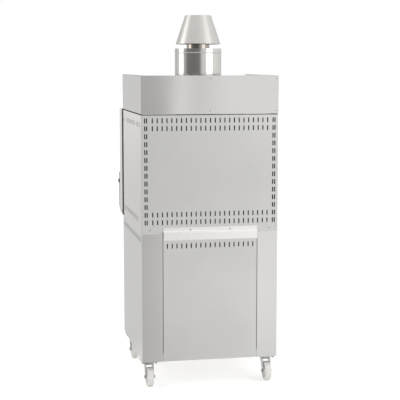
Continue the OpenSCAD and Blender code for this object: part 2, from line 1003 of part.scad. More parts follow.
module thermometer_case() {
    color("lightgray")
    on_gauge(0)
        rotate_extrude() {
            square([gauge_r, gauge_floor]);
            square([gauge_pin_r, gauge_floor + gauge_pin_l]);
            translate([gauge_r - gauge_rim, 0])
                difference() {
                    translate([-gauge_rim, 0])
                        rounded([2 * gauge_rim, gauge_t], gauge_rim / 2);
                    translate([-2 * gauge_rim, gauge_floor])
                        square([2 * gauge_rim, gauge_t]);
                }
        }
}

module thermometer_needle() {
    color("firebrick")
    on_gauge(gauge_floor + needle_up)
        difference() {
            rotate([0, 0, needle_rest])
                linear_extrude(needle_t) {
                    circle(needle_hub);
                    polygon([[needle_w, 0], [0, needle_l], [-needle_w, 0],
                        [-needle_w, -needle_l * needle_tail_share],
                        [needle_w, -needle_l * needle_tail_share]]);
                }
            translate([0, 0, -over])
                cylinder(r = gauge_pin_r + run_fit, h = needle_t + 2 * over);
        }
}

module thermometer_glass() {
    color("lightcyan", 0.4)
    on_gauge(gauge_t - glass_in - glass_t)
        cylinder(r = gauge_r - gauge_rim, h = glass_t);
}

// Strip over the joint: a flange on the casing, a joggle, and an apron that stands proud
cover_half = 246;
cover_up = 30;
cover_down = 34;
cover_flange = 16;

module joint_cover() {
    top = casing_z0 + cover_up;
    bend = top - cover_flange;
    low = casing_z0 - cover_down;
    color("white")
    facing_side(-cover_half, 2 * cover_half)
        polygon([[0, top], [0, bend], [-cover_step, bend - cover_step], [-cover_step, low],
            [-cover_reach, low], [-cover_reach, bend - cover_step],
            [-sheet, bend + near], [-sheet, top]]);
}

// Cabinet sides: folded round the rear into a broad leg, with a stop for the door in front
jamb_w = 24;
jamb_gap = 1;
jamb_front = cabinet_d - leaf_t - jamb_gap;
jamb_t = 2;
side_row_first = 30;
side_row_down = 35;
side_row_count = floor((cabinet_d - 2 * side_row_first) / slot_pitch) + 1;

module cabinet_side() {
    color("silver")
    difference() {
        translate([half_w, 0, 0])
            standing(cabinet_z0, cabinet_z1 - sheet)
                folded_u(0, cabinet_d, leg_w, sheet);
        facing_side(half_w - sheet - over, sheet + 2 * over)
            slot_row(side_row_first, side_row_count, cabinet_z1 - side_row_down);
    }
    color("silver")
    block([inner_w - jamb_w, inner_w], [jamb_front - jamb_t, jamb_front],
        [cabinet_z0 + sheet, cabinet_z1 - sheet]);
}

// Rear panel of the cabinet: lifts out, with one row of slots under the joint strip
panel_half = half_w - leg_w - panel_gap;
panel_foot = 2;
panel_row_down = 65;
panel_row_margin = 21;
panel_row_count = floor(2 * (panel_half - panel_row_margin) / slot_pitch) + 1;

module cabinet_rear_panel() {
    color("silver")
    facing_rear(0, sheet)
        difference() {
            translate([-panel_half, cabinet_z0 + panel_foot])
                square([2 * panel_half, cabinet_h - panel_foot - sheet]);
            slot_row(-(panel_row_count - 1) * slot_pitch / 2, panel_row_count,
                cabinet_z1 - panel_row_down);
        }
}

// Cabinet floor: a tray whose rear edge backs the panel's foot
floor_up = 44;
floor_front = jamb_front - jamb_t;

module cabinet_floor() {
    color("silver")
    difference() {
        standing(cabinet_z0, cabinet_z0 + floor_up)
            translate([-inner_w, sheet])
                rounded([2 * inner_w, floor_front - sheet], bend_r);
        standing(cabinet_z0 + sheet, cabinet_z0 + floor_up + over)
            translate([sheet - inner_w, 2 * sheet])
                rounded([2 * (inner_w - sheet), floor_front - 3 * sheet], bend_r);
    }
}

// Cabinet top: lies on the cabinet's sides and carries the oven
module cabinet_top() {
    color("gainsboro")
    standing(cabinet_z1 - sheet, cabinet_z1)
        translate([-half_w, 0])
            rounded([body_w, cabinet_d], bend_r);
}

// Fascia: a folded panel over the cabinet's doors, with the air inlet and the slider's guides
fascia_z1 = cabinet_z1 - sheet;
fascia_z0 = fascia_z1 - fascia_h;
fascia_half = inner_w - near;
fascia_return = leaf_t + jamb_gap;
vent_count = 9;
vent_w = 13;
vent_l = 34;
vent_pitch = 28;
vent_up = 37;
vent_z = fascia_z0 + vent_up;
slider_t = 2;
slider_edge = 14;
slider_rim = 8;
slider_h = vent_l + 2 * slider_rim;
slider_half = (vent_count * vent_pitch) / 2 + slider_edge;
guide_w = 8;
guide_lap = 3;
guide_more = 24;
slide_gap = 0.3;

module vents() {
    for (i = [0 : vent_count - 1])
        translate([(i - (vent_count - 1) / 2) * vent_pitch, vent_z])
            slot(vent_w, vent_l);
}

module cabinet_fascia() {
    color("silver")
    difference() {
        facing_side(-fascia_half, 2 * fascia_half)
            translate([cabinet_d, 0])
                folded_u(fascia_z0, fascia_z1, fascia_return, fascia_return);
        facing_rear(cabinet_d - sheet - over, sheet + 2 * over)
            vents();
    }
    color("gray")
    for (s = [-1, 1])
        translate([0, 0, vent_z])
            mirror([0, 0, (1 - s) / 2]) {
                z = slider_h / 2 + slide_gap;
                block([-slider_half - guide_more, slider_half + guide_more],
                    [cabinet_d, cabinet_d + slider_t + 2 * slide_gap + slider_t], [z, z + guide_w]);
                block([-slider_half - guide_more, slider_half + guide_more],
                    [cabinet_d + slider_t + 2 * slide_gap,
                     cabinet_d + slider_t + 2 * slide_gap + slider_t],
                    [z - guide_lap, z + guide_w]);
            }
}

// Air slider: its slots meet the fascia's when open, and its bars cover them when closed
slider_knob_r = 7;
slider_knob_l = 14;
slider_knob_t = 9;

module air_slider() {
    color("gray") {
        facing_rear(cabinet_d + slide_gap, slider_t)
            difference() {
                translate([-slider_half, vent_z - slider_h / 2])
                    square([2 * slider_half, slider_h]);
                vents();
            }
        translate([vent_pitch / 2, at(cabinet_d + slide_gap), vent_z])
            rotate([90, 0, 0]) {
                cylinder(r = slider_knob_r / 2, h = slider_knob_l);
                translate([0, 0, slider_knob_l - knob_edge])
                    turned(slider_knob_r, slider_knob_t, knob_edge);
            }
    }
}

// Cabinet doors: open-backed pans with a round hinge edge about their pivots
leaf_gap = 4;
leaf_clear = 2.5;
leaf_skin = 1.2;
leaf_meet = 1.5;
leaf_foot = 4;
leaf_r = leaf_t / 2;
leaf_z0 = cabinet_z0 + leaf_foot;
leaf_z1 = fascia_z0 - leaf_gap;
leaf_x = inner_w - leaf_clear - leaf_r;
leaf_y = cabinet_d - leaf_r;
leaf_post = 4;
pivot_r = 4;
pivot_l = 12;
pivot_gap = 1;

module cabinet_leaf() {
    color("silver")
    difference() {
        standing(leaf_z0, leaf_z1) {
            translate([leaf_x, leaf_y])
                circle(leaf_r);
            translate([leaf_meet, cabinet_d - leaf_t])
                square([leaf_x - leaf_meet, leaf_t]);
        }
        block([leaf_meet + leaf_skin, leaf_x - leaf_r - leaf_post],
            [cabinet_d - leaf_t - over, cabinet_d - leaf_skin],
            [leaf_z0 + leaf_skin, leaf_z1 - leaf_skin]);
        for (z = [leaf_z0 - over, leaf_z1 - pivot_l - pivot_gap])
            translate([leaf_x, at(leaf_y), z])
                cylinder(r = pivot_r + run_fit, h = pivot_l + pivot_gap + over);
    }
}

// Cabinet hinges: a plate with a pin below and above each door
hinge_plate_t = 3;
hinge_plate_l = 28;

module cabinet_hinges() {
    color("gray")
    both_sides() {
        for (z = [cabinet_z0, fascia_z0 - hinge_plate_t])
            block([inner_w - hinge_plate_l, inner_w], [jamb_front, cabinet_d - near],
                [z, z + hinge_plate_t]);
        translate([leaf_x, at(leaf_y), cabinet_z0 + hinge_plate_t])
            cylinder(r = pivot_r, h = leaf_z0 + pivot_l - cabinet_z0 - hinge_plate_t);
        translate([leaf_x, at(leaf_y), leaf_z1 - pivot_l])
            cylinder(r = pivot_r, h = fascia_z0 - hinge_plate_t - leaf_z1 + pivot_l);
    }
}

// Door pull: a bent rod on two legs
pull_r = 5;
pull_span = 128;
pull_out = 34;
pull_bend = 16;
pull_edge = 34;
pull_share = 0.62;

module door_pull() {
    color("gainsboro")
    translate([leaf_meet + pull_edge, at(cabinet_d), leaf_z0 + (leaf_z1 - leaf_z0) * pull_share])
        rotate([0, 0, -90]) {
            translate([pull_out, 0, pull_bend - pull_span / 2])
                cylinder(r = pull_r, h = pull_span - 2 * pull_bend);
            for (s = [-1, 1]) {
                translate([0, 0, s * pull_span / 2])
                    rotate([0, 90, 0])
                        cylinder(r = pull_r, h = pull_out - pull_bend);
                translate([pull_out - pull_bend, 0, s * (pull_span / 2 - pull_bend)])
                    rotate([s * 90, 0, 0])
                        rotate_extrude(angle = 90)
                            translate([pull_bend, 0])
                                circle(pull_r);
            }
        }
}

// Castors: top plates and ball races, fixed under the cabinet
castor_x = half_w - castor_side;
pad_t = 6;
plate_t = 4;
plate_w = 84;
plate_l = 100;
plate_r = 10;
king_r = 6;
race_r = 28;
race_h = 12;

// The four places of the castors, as signs of X and of the front
module each_castor() {
    for (x = [-1, 1], front = [false, true])
        castor_place(x, front)
            children();
}

module castor_place(x, front) {
    translate([x * castor_x, at(front ? cabinet_d - castor_end : castor_end), 0])
        children();
}

module castor_plates() {
    color("silver")
    each_castor() {
        translate([0, 0, castor_h - pad_t - plate_t])
            linear_extrude(pad_t + plate_t)
                translate([-plate_w / 2, -plate_l / 2])
                    rounded([plate_w, plate_l], plate_r);
        translate([0, 0, crown_z1 + near])
            cylinder(r = race_r, h = race_h - near);
        translate([0, 0, crown_z0 - king_head])
            cylinder(r = king_r, h = race_h + fork_t + king_head);
        translate([0, 0, crown_z0 - king_head])
            cylinder(r = king_r + fork_t, h = king_head - near);
    }
}

// Castor forks: a crown and two tapered legs, with the axle bolt, its nuts and the brake's pin
fork_t = 3;
fork_gap = 2.5;
fork_in = wheel_w / 2 + fork_gap;
crown_r = 30;
crown_z1 = castor_h - pad_t - plate_t - race_h;
crown_z0 = crown_z1 - fork_t;
king_head = 3;
axle_z = wheel_d / 2;
axle_r = 5;
axle_boss = 13;
nut_r = 9;
nut_t = 6;
brake_y = 62;
brake_up = 6;
brake_pin_r = 4;
brake_ear = 8;
brake_head = 1.5;
brake_z = wheel_d + brake_up - fork_t;

// Point where a line from p touches the circle about c, on side s
function touch(p, c, r, s) =
    let (v = p - c, a = atan2(v[1], v[0]) + s * acos(r / norm(v)))
    c + r * [cos(a), sin(a)];

// Outline of a leg in Y and Z
module leg_outline(braked) {
    axle = [trail, axle_z];
    front_top = [-crown_r, crown_z1];
    rear_top = [crown_r, crown_z1];
    polygon([front_top, touch(front_top, axle, axle_boss, 1), axle,
        touch(rear_top, axle, axle_boss, -1), rear_top]);
    translate(axle)
        circle(axle_boss);
    if (braked) {
        pin = [brake_y, brake_z];
        low = [0, crown_z0 - 2 * brake_ear];
        high = [0, crown_z0];
        polygon([high, low, touch(low, pin, brake_ear, 1), pin,
            touch(high, pin, brake_ear, -1)]);
        translate(pin)
            circle(brake_ear);
    }
}

module castor_fork(braked) {
    color("darkgray")
    difference() {
        union() {
            for (x = [-fork_in - fork_t, fork_in])
                translate([x, 0, 0])
                    rotate([90, 0, 90])
                        linear_extrude(fork_t)
                            leg_outline(braked);
            translate([-fork_in - fork_t, -crown_r, crown_z0])
                cube([2 * (fork_in + fork_t), 2 * crown_r, fork_t]);
        }
        translate([0, 0, crown_z0 - over])
            cylinder(r = king_r + run_fit, h = fork_t + 2 * over);
    }
    color("dimgray")
    translate([0, trail, axle_z])
        rotate([0, 90, 0]) {
            translate([0, 0, -fork_in - fork_t - nut_t])
                cylinder(r = axle_r, h = 2 * (fork_in + fork_t + nut_t));
            for (z = [-fork_in - fork_t - nut_t, fork_in + fork_t])
                translate([0, 0, z])
                    cylinder(r = nut_r, h = nut_t, $fn = 6);
        }
    if (braked)
        color("dimgray")
        translate([-fork_in - fork_t - brake_head, brake_y, brake_z])
            rotate([0, 90, 0])
                cylinder(r = brake_pin_r, h = 2 * (fork_in + fork_t + brake_head));
}

// Castor wheels: a rounded tread, a thin web and a hub on the axle
hub_r = 17;
hub_gap = 0.5;
tread_r = 6;
rim_t = 12;
web_share = 0.4;

module castor_wheel() {
    hub_half = fork_in - hub_gap;
    color("ivory")
    translate([0, trail, axle_z])
        rotate([0, 90, 0])
            rotate_extrude($fn = 96) {
                translate([wheel_d / 2 - 2 * rim_t, -wheel_w / 2])
                    difference() {
                        rounded([2 * rim_t, wheel_w], tread_r);
                        translate([-over, -over])
                            square([rim_t + over, wheel_w + 2 * over]);
                    }
                translate([axle_r + run_fit, -wheel_w * web_share / 2])
                    square([wheel_d / 2 - rim_t - axle_r, wheel_w * web_share]);
                translate([axle_r + run_fit, -hub_half])
                    square([hub_r - axle_r - run_fit, 2 * hub_half]);
            }
}

// Brake pedals on the front castors: a cam by the tread and a foot plate
pedal_w = 30;
pedal_t = 4;
pedal_l = 42;
pedal_fall = 14;
cam_gap = 0.6;

module brake_pedal() {
    cam_r = norm([brake_y - trail, brake_z - axle_z]) - wheel_d / 2 - cam_gap;
    color("dimgray")
    translate([-pedal_w / 2, brake_y, brake_z])
        rotate([90, 0, 90])
            linear_extrude(pedal_w)
                difference() {
                    union() {
                        circle(cam_r);
                        polygon([[0, 0], [pedal_l, -pedal_fall],
                            [pedal_l, pedal_t - pedal_fall], [0, cam_r]]);
                    }
                    circle(brake_pin_r + run_fit);
                }
}

rear_casing();
mirror([1, 0, 0]) side_casing();  // side_casing_left
side_casing();  // side_casing_right
roof();
base_frame();
mouth_frame();
hinge_brackets();
joint_cover();
firebox();
insulation();
fire_bricks();
grid_racks();
charcoal_grate();
ash_pan();
cooking_grid(0);  // lower_grid
cooking_grid(rack_levels - 1);  // upper_grid
flue_pipe();
flue_sleeve();
flue_spider();
hat();
damper_disc();
damper_shaft();
shroud_rear();
mirror([1, 0, 0]) shroud_side();  // shroud_left
shroud_side();  // shroud_right
door_outer();
door_inner();
door_insulation();
door_gasket();
hinge_pins();
handle_bar();
handle_caps();
handle_brackets();
thermometer_case();
thermometer_needle();
thermometer_glass();
mirror([1, 0, 0]) cabinet_side();  // cabinet_side_left
cabinet_side();  // cabinet_side_right
cabinet_rear_panel();
cabinet_floor();
cabinet_top();
cabinet_fascia();
cabinet_hinges();
air_slider();
mirror([1, 0, 0]) cabinet_leaf();  // cabinet_door_left
cabinet_leaf();  // cabinet_door_right
mirror([1, 0, 0]) door_pull();  // door_pull_left
door_pull();  // door_pull_right
castor_plates();
castor_place(-1, true) castor_fork(true);  // fork_front_left
castor_place(1, true) castor_fork(true);  // fork_front_right
castor_place(-1, false) castor_fork(false);  // fork_rear_left
castor_place(1, false) castor_fork(false);  // fork_rear_right
castor_place(-1, true) castor_wheel();  // wheel_front_left
castor_place(1, true) castor_wheel();  // wheel_front_right
castor_place(-1, false) castor_wheel();  // wheel_rear_left
castor_place(1, false) castor_wheel();  // wheel_rear_right
castor_place(-1, true) brake_pedal();  // brake_front_left
castor_place(1, true) brake_pedal();  // brake_front_right
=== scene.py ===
import math

import bmesh
import bpy
import numpy as np
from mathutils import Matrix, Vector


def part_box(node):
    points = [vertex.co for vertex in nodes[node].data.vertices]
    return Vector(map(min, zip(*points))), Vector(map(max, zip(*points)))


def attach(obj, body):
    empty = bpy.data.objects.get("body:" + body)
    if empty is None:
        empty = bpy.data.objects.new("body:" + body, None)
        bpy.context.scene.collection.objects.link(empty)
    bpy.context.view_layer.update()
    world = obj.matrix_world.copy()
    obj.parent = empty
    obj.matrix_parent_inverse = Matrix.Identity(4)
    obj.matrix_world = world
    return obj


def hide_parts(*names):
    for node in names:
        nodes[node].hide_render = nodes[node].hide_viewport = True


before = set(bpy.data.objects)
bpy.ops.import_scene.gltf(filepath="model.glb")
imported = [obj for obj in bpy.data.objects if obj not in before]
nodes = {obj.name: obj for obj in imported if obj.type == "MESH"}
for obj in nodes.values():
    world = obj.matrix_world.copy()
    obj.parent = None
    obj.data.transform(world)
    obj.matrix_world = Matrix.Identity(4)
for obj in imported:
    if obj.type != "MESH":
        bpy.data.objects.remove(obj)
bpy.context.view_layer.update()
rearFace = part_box("rear_casing")[1].y
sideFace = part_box("rear_casing")[1].x
print("frame:", len(nodes), "nodes, rear face at", round(rearFace, 5))


def depth(mm):
    # place along Y of something so many millimetres in front of the rear face
    return rearFace - mm / 1000


photoCamera = {
    "place": (1.157, rearFace + 5.621, 1.675),
    "yaw": 11.094,
    "pitch": 6.936,
    "focalPixels": 1124.9,
    "imagePixels": 400,
    "sensorMm": 36,
}

cameraData = bpy.data.cameras.new("photoCamera")
cameraData.sensor_width = photoCamera["sensorMm"]
cameraData.lens = photoCamera["sensorMm"] * photoCamera["focalPixels"] / photoCamera["imagePixels"]
camera = bpy.data.objects.new("photoCamera", cameraData)
camera.location = photoCamera["place"]
camera.rotation_euler = (
    math.radians(90 - photoCamera["pitch"]), 0, math.radians(180 - photoCamera["yaw"]))
bpy.context.scene.collection.objects.link(camera)
bpy.context.scene.camera = camera
bpy.context.scene.view_settings.view_transform = "Standard"


def linear(hexCode, alpha=1.0):
    # an sRGB hex colour as the linear values that shaders work in
    parts = [int(hexCode[i:i + 2], 16) / 255 for i in (1, 3, 5)]
    return [p / 12.92 if p <= 0.04045 else ((p + 0.055) / 1.055) ** 2.4 for p in parts] + [alpha]


def addNode(tree, kind, inputs=None, **settings):
    # one node; an input that is given a socket is linked, any other value is set on it
    node = tree.nodes.new(kind)
    for name, value in settings.items():
        setattr(node, name, value)
    for name, value in (inputs or {}).items():
        if isinstance(value, bpy.types.NodeSocket):
            tree.links.new(value, node.inputs[name])
        else:
            node.inputs[name].default_value = value
    return node


studio = {
    "skyOnObject": 0.8,  # strength of the sky as light on the object
    "skySeen": 1.0,  # its strength for the camera and in metal and glass
    "boxes": [
        # angle from the rear towards -X, width in degrees, radiance
        {"name": "rightSoftbox", "angle": 47, "width": 33, "radiance": 1.35},
        {"name": "leftSoftbox", "angle": -101, "width": 27, "radiance": 1.6},
    ],
    "boxDistance": 3.0,
    "boxFoot": 1.3,
    "boxHead": 3.3,
    "floorHex": "#fdfdfc",
    "floorToothHex": "#fafaf9",
    "floorToothMm": 12,
    "floorRoughness": 0.9,
    "floorLift": 0.32,  # glow that only the camera and the metal see
    "floorHalf": 60,
    "floorSteps": 9,
}

world = bpy.data.worlds.new("studioSky")
bpy.context.scene.world = world
world.use_nodes = True
sky = world.node_tree
sky.nodes.clear()
rayKind = addNode(sky, "ShaderNodeLightPath")
seenByMetal = addNode(sky, "ShaderNodeMath", {
    0: rayKind.outputs["Is Glossy Ray"], 1: rayKind.outputs["Is Transmission Ray"]},
    operation="MAXIMUM")
seen = addNode(sky, "ShaderNodeMath", {
    0: rayKind.outputs["Is Camera Ray"], 1: seenByMetal.outputs[0]}, operation="MAXIMUM")
skyLight = addNode(sky, "ShaderNodeBackground", {
    "Color": (1, 1, 1, 1), "Strength": studio["skyOnObject"]})
skySeen = addNode(sky, "ShaderNodeBackground", {
    "Color": (1, 1, 1, 1), "Strength": studio["skySeen"]})
skyMix = addNode(sky, "ShaderNodeMixShader", {
    0: seen.outputs[0], 1: skyLight.outputs[0], 2: skySeen.outputs[0]})
addNode(sky, "ShaderNodeOutputWorld", {"Surface": skyMix.outputs[0]})

flueDepthMm = 334
flueCentre = np.array([0.0, depth(flueDepthMm)])


def aroundFlue(angle, radius):
    # place in plan: the angle counts from the rear towards -X, from the flue's axis
    turn = math.radians(angle)
    return flueCentre + radius * np.array([-math.sin(turn), math.cos(turn)])


for box in studio["boxes"]:
    width = 2 * studio["boxDistance"] * math.tan(math.radians(box["width"] / 2))
    height = studio["boxHead"] - studio["boxFoot"]
    lamp = bpy.data.lights.new(box["name"], "AREA")
    lamp.shape = "RECTANGLE"
    lamp.size = width
    lamp.size_y = height
    # the watts that give the lamp's face this radiance
    lamp.energy = box["radiance"] * math.pi * width * height
    holder = bpy.data.objects.new(box["name"], lamp)
    x, y = aroundFlue(box["angle"], studio["boxDistance"])
    holder.location = (x, y, (studio["boxHead"] + studio["boxFoot"]) / 2)
    holder.rotation_euler = (math.radians(90), 0, math.radians(box["angle"] + 180))
    holder.visible_camera = False
    bpy.context.scene.collection.objects.link(holder)


mergeDistance = 2e-6
shortestEdge = 1e-7


def surface(name, grids, wrapU=False, wrapV=False, smooth=True):
    # grids[n, u, v] are places on n equal grids; neighbours along u and v are joined by faces,
    # a wrapped direction closes on itself, and places that fall together at poles are merged
    grids = np.asarray(grids, float)
    if grids.ndim == 3:
        grids = grids[None]
    count, across, along = grids.shape[:3]
    index = np.arange(across * along).reshape(across, along)
    if wrapU:
        index = np.concatenate([index, index[:1]], 0)
    if wrapV:
        index = np.concatenate([index, index[:, :1]], 1)
    quads = np.stack(
        [index[:-1, :-1], index[1:, :-1], index[1:, 1:], index[:-1, 1:]], -1).reshape(-1, 4)
    quads = (quads[None] + (np.arange(count) * across * along)[:, None, None]).reshape(-1, 4)
    mesh = bpy.data.meshes.new(name)
    mesh.from_pydata(grids.reshape(-1, 3).tolist(), [], quads.tolist())
    shell = bmesh.new()
    shell.from_mesh(mesh)
    bmesh.ops.remove_doubles(shell, verts=shell.verts, dist=mergeDistance)
    bmesh.ops.dissolve_degenerate(shell, edges=shell.edges, dist=shortestEdge)
    bmesh.ops.recalc_face_normals(shell, faces=shell.faces)
    shell.to_mesh(mesh)
    shell.free()
    mesh.polygons.foreach_set("use_smooth", np.full(len(mesh.polygons), smooth))
    piece = bpy.data.objects.new(name, mesh)
    bpy.context.scene.collection.objects.link(piece)
    return piece


def newMaterial(name):
    # a Principled shader joined to the output, and the Object coordinates that its patterns read
    material = bpy.data.materials.new(name)
    material.use_nodes = True
    tree = material.node_tree
    tree.nodes.clear()
    shader = addNode(tree, "ShaderNodeBsdfPrincipled")
    addNode(tree, "ShaderNodeOutputMaterial", {"Surface": shader.outputs[0]})
    place = addNode(tree, "ShaderNodeTexCoord").outputs["Object"]
    return material, tree, shader, place


# floor: one wide pale sheet that reaches the horizon
line = np.linspace(-studio["floorHalf"], studio["floorHalf"], studio["floorSteps"])
u, v = np.meshgrid(line, line, indexing="ij")
floor = surface("studioFloor", np.stack([u, v, np.zeros_like(u)], -1), smooth=False)
# matt backdrop paper; the camera and the metal see it brighter than it is, so that it ends in white
floorPaper, tree, shader, place = newMaterial("mattBackdropPaper")
tooth = addNode(tree, "ShaderNodeTexNoise", {
    "Vector": place, "Scale": 1000 / studio["floorToothMm"], "Detail": 2.0})
paper = addNode(tree, "ShaderNodeMix", {
    "Factor": tooth.outputs["Fac"],
    "A": linear(studio["floorHex"]), "B": linear(studio["floorToothHex"])}, data_type="RGBA")
tree.links.new(paper.outputs["Result"], shader.inputs["Base Color"])
shader.inputs["Roughness"].default_value = studio["floorRoughness"]
shader.inputs["Specular IOR Level"].default_value = 0.0
rayKind = addNode(tree, "ShaderNodeLightPath")
lift = addNode(tree, "ShaderNodeMath", {
    0: rayKind.outputs["Is Camera Ray"], 1: rayKind.outputs["Is Glossy Ray"]}, operation="MAXIMUM")
lifted = addNode(tree, "ShaderNodeMath", {
    0: lift.outputs[0], 1: studio["floorLift"]}, operation="MULTIPLY")
shader.inputs["Emission Color"].default_value = (1, 1, 1, 1)
tree.links.new(lifted.outputs[0], shader.inputs["Emission Strength"])
floor.data.materials.append(floorPaper)

# a ring of grey card stands round the object, and its foot runs in along the floor. Only the metal
# sees it: it gives the metal its dark core. Its tones go by the angle from the rear towards -X.
ring = {
    "steps": 361,
    "carryWithin": 60,  # degrees from the rear in which the tones stand as stripes in its face
    "paleFrom": 4,  # degrees past the rear from which the pale side has its whole lift
    # heights between which all tones fade to the head's one
    "fadeFrom": 2.7, "head": 3.5, "headTone": 0.85,
    # heights between which the tones draw together round a middle, and their lower bound there
    "lowFrom": 1.45, "lowTo": 0.7, "lowMiddle": 0.70, "lowContrast": 0.65, "lowTone": 0.57,
    # distance from the flue's axis, height, and how much brighter the pale side is there
    "profile": [
        (0.4, 0.004, -0.05), (0.8, 0.004, -0.03), (1.2, 0.004, 0.02), (1.6, 0.004, 0.09),
        (2.1, 0.004, 0.14), (2.7, 0.004, 0.18), (3.2, 0.004, 0.21), (3.2, 0.2, 0.21),
        (3.2, 0.6, 0.0), (3.2, 1.45, 0.0), (3.2, 2.7, 0.0), (3.2, 3.1, 0.0), (3.2, 3.5, 0.0)],
    # angle in degrees: radiance
    "tones": {
        -180: 0.64, -150: 0.64, -125: 0.85, -96: 0.95, -88: 0.95, -84: 0.60, -72: 0.50,
        -66: 0.25, -30: 0.22, -6: 0.25, 0: 0.44, 3: 0.47, 5: 0.56, 5.8: 1.06, 6.8: 1.08,
        7.4: 0.70, 9.5: 0.71, 10.6: 0.80, 12: 0.90, 18: 0.90, 22: 0.90, 30: 1.0, 90: 1.0,
        125: 0.85, 150: 0.66, 180: 0.64},
}
mirroredCamera = np.array([photoCamera["place"][0], 2 * rearFace - photoCamera["place"][1]])


def angleOnRing(x, y):
    # where the line from the camera mirrored in the rear face meets the ring, so that each tone
    # stands as an upright stripe in that face. Away from the rear each place takes its own angle
    ray = np.stack([x, y], -1) - mirroredCamera
    ray /= np.linalg.norm(ray, axis=-1, keepdims=True)
    start = mirroredCamera - flueCentre
    along = (ray * start).sum(-1)
    reach = -along + np.sqrt(along ** 2 - (start ** 2).sum() + outerRadius ** 2)
    met = start + ray * reach[..., None]
    carried = np.degrees(np.arctan2(-met[..., 0], met[..., 1]))
    own = np.degrees(np.arctan2(-(x - flueCentre[0]), y - flueCentre[1]))
    return np.where((y > rearFace) & (np.abs(own) < ring["carryWithin"]), carried, own)


profile = np.array(ring["profile"])
outerRadius = profile[-1, 0]
turns = np.linspace(-np.pi, np.pi, ring["steps"])
# a circle round the flue's axis for each place of the profile
ringPlaces = np.stack([
    flueCentre[0] - profile[:, 0] * np.sin(turns)[:, None],
    flueCentre[1] + profile[:, 0] * np.cos(turns)[:, None],
    np.broadcast_to(profile[:, 1], (len(turns), len(profile)))], -1)
card = surface("greyCardRing", ringPlaces)
places = np.zeros(len(card.data.vertices) * 3)
card.data.vertices.foreach_get("co", places)
x, y, z = places.reshape(-1, 3).T
angles = angleOnRing(x, y)
tones = np.interp(angles, list(ring["tones"]), list(ring["tones"].values()))
fade = np.clip((z - ring["fadeFrom"]) / (ring["head"] - ring["fadeFrom"]), 0, 1)
tones = tones + (ring["headTone"] - tones) * fade
sink = np.clip((ring["lowFrom"] - z) / (ring["lowFrom"] - ring["lowTo"]), 0, 1)
softened = ring["lowMiddle"] + (tones - ring["lowMiddle"]) * ring["lowContrast"]
softened = np.maximum(softened, ring["lowTone"])
tones = tones + (softened - tones) * sink
# the lift follows the profile: by distance along the floor, by height on the wall. The pale side
# starts a few degrees past the rear, and a negative lift holds on both sides
distance = np.hypot(x - flueCentre[0], y - flueCentre[1])
onWall = np.isclose(distance, outerRadius, atol=1e-3)
floorPart = profile[profile[:, 1] <= profile[0, 1]]
wallPart = profile[profile[:, 0] >= outerRadius]
lift = np.where(onWall, np.interp(z, wallPart[:, 1], wallPart[:, 2]),
                np.interp(distance, floorPart[:, 0], floorPart[:, 2]))
paleHalf = np.clip(angles / ring["paleFrom"], 0, 1)
tones *= 1 + lift * np.where(lift < 0, 1, paleHalf)
card.data.attributes.new("tone", "FLOAT", "POINT").data.foreach_set("value", tones)
cardPaint = bpy.data.materials.new("greyCardPaint")
cardPaint.use_nodes = True
tree = cardPaint.node_tree
tree.nodes.clear()
toneValue = addNode(tree, "ShaderNodeAttribute", attribute_name="tone")
glow = addNode(tree, "ShaderNodeEmission", {
    "Color": (1, 1, 1, 1), "Strength": toneValue.outputs["Fac"]})
addNode(tree, "ShaderNodeOutputMaterial", {"Surface": glow.outputs[0]})
card.data.materials.append(cardPaint)
for flag in ("visible_camera", "visible_diffuse", "visible_shadow", "visible_transmission"):
    setattr(card, flag, False)
print("studio: camera, sky,", len(studio["boxes"]), "softboxes, floor and card ring")


ventWall = {"sheet": 0.0014, "skin": 0.0001, "fold": 0.004}
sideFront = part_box("side_casing_left")[0].y
brushing = {"lineDetail": 3.0, "lineContrast": 0.62, "lineDepth": 0.00006, "cloudDetail": 2.0,
            "cloudLow": 0.3, "cloudHigh": 0.7, "roughnessSpread": 0.03}


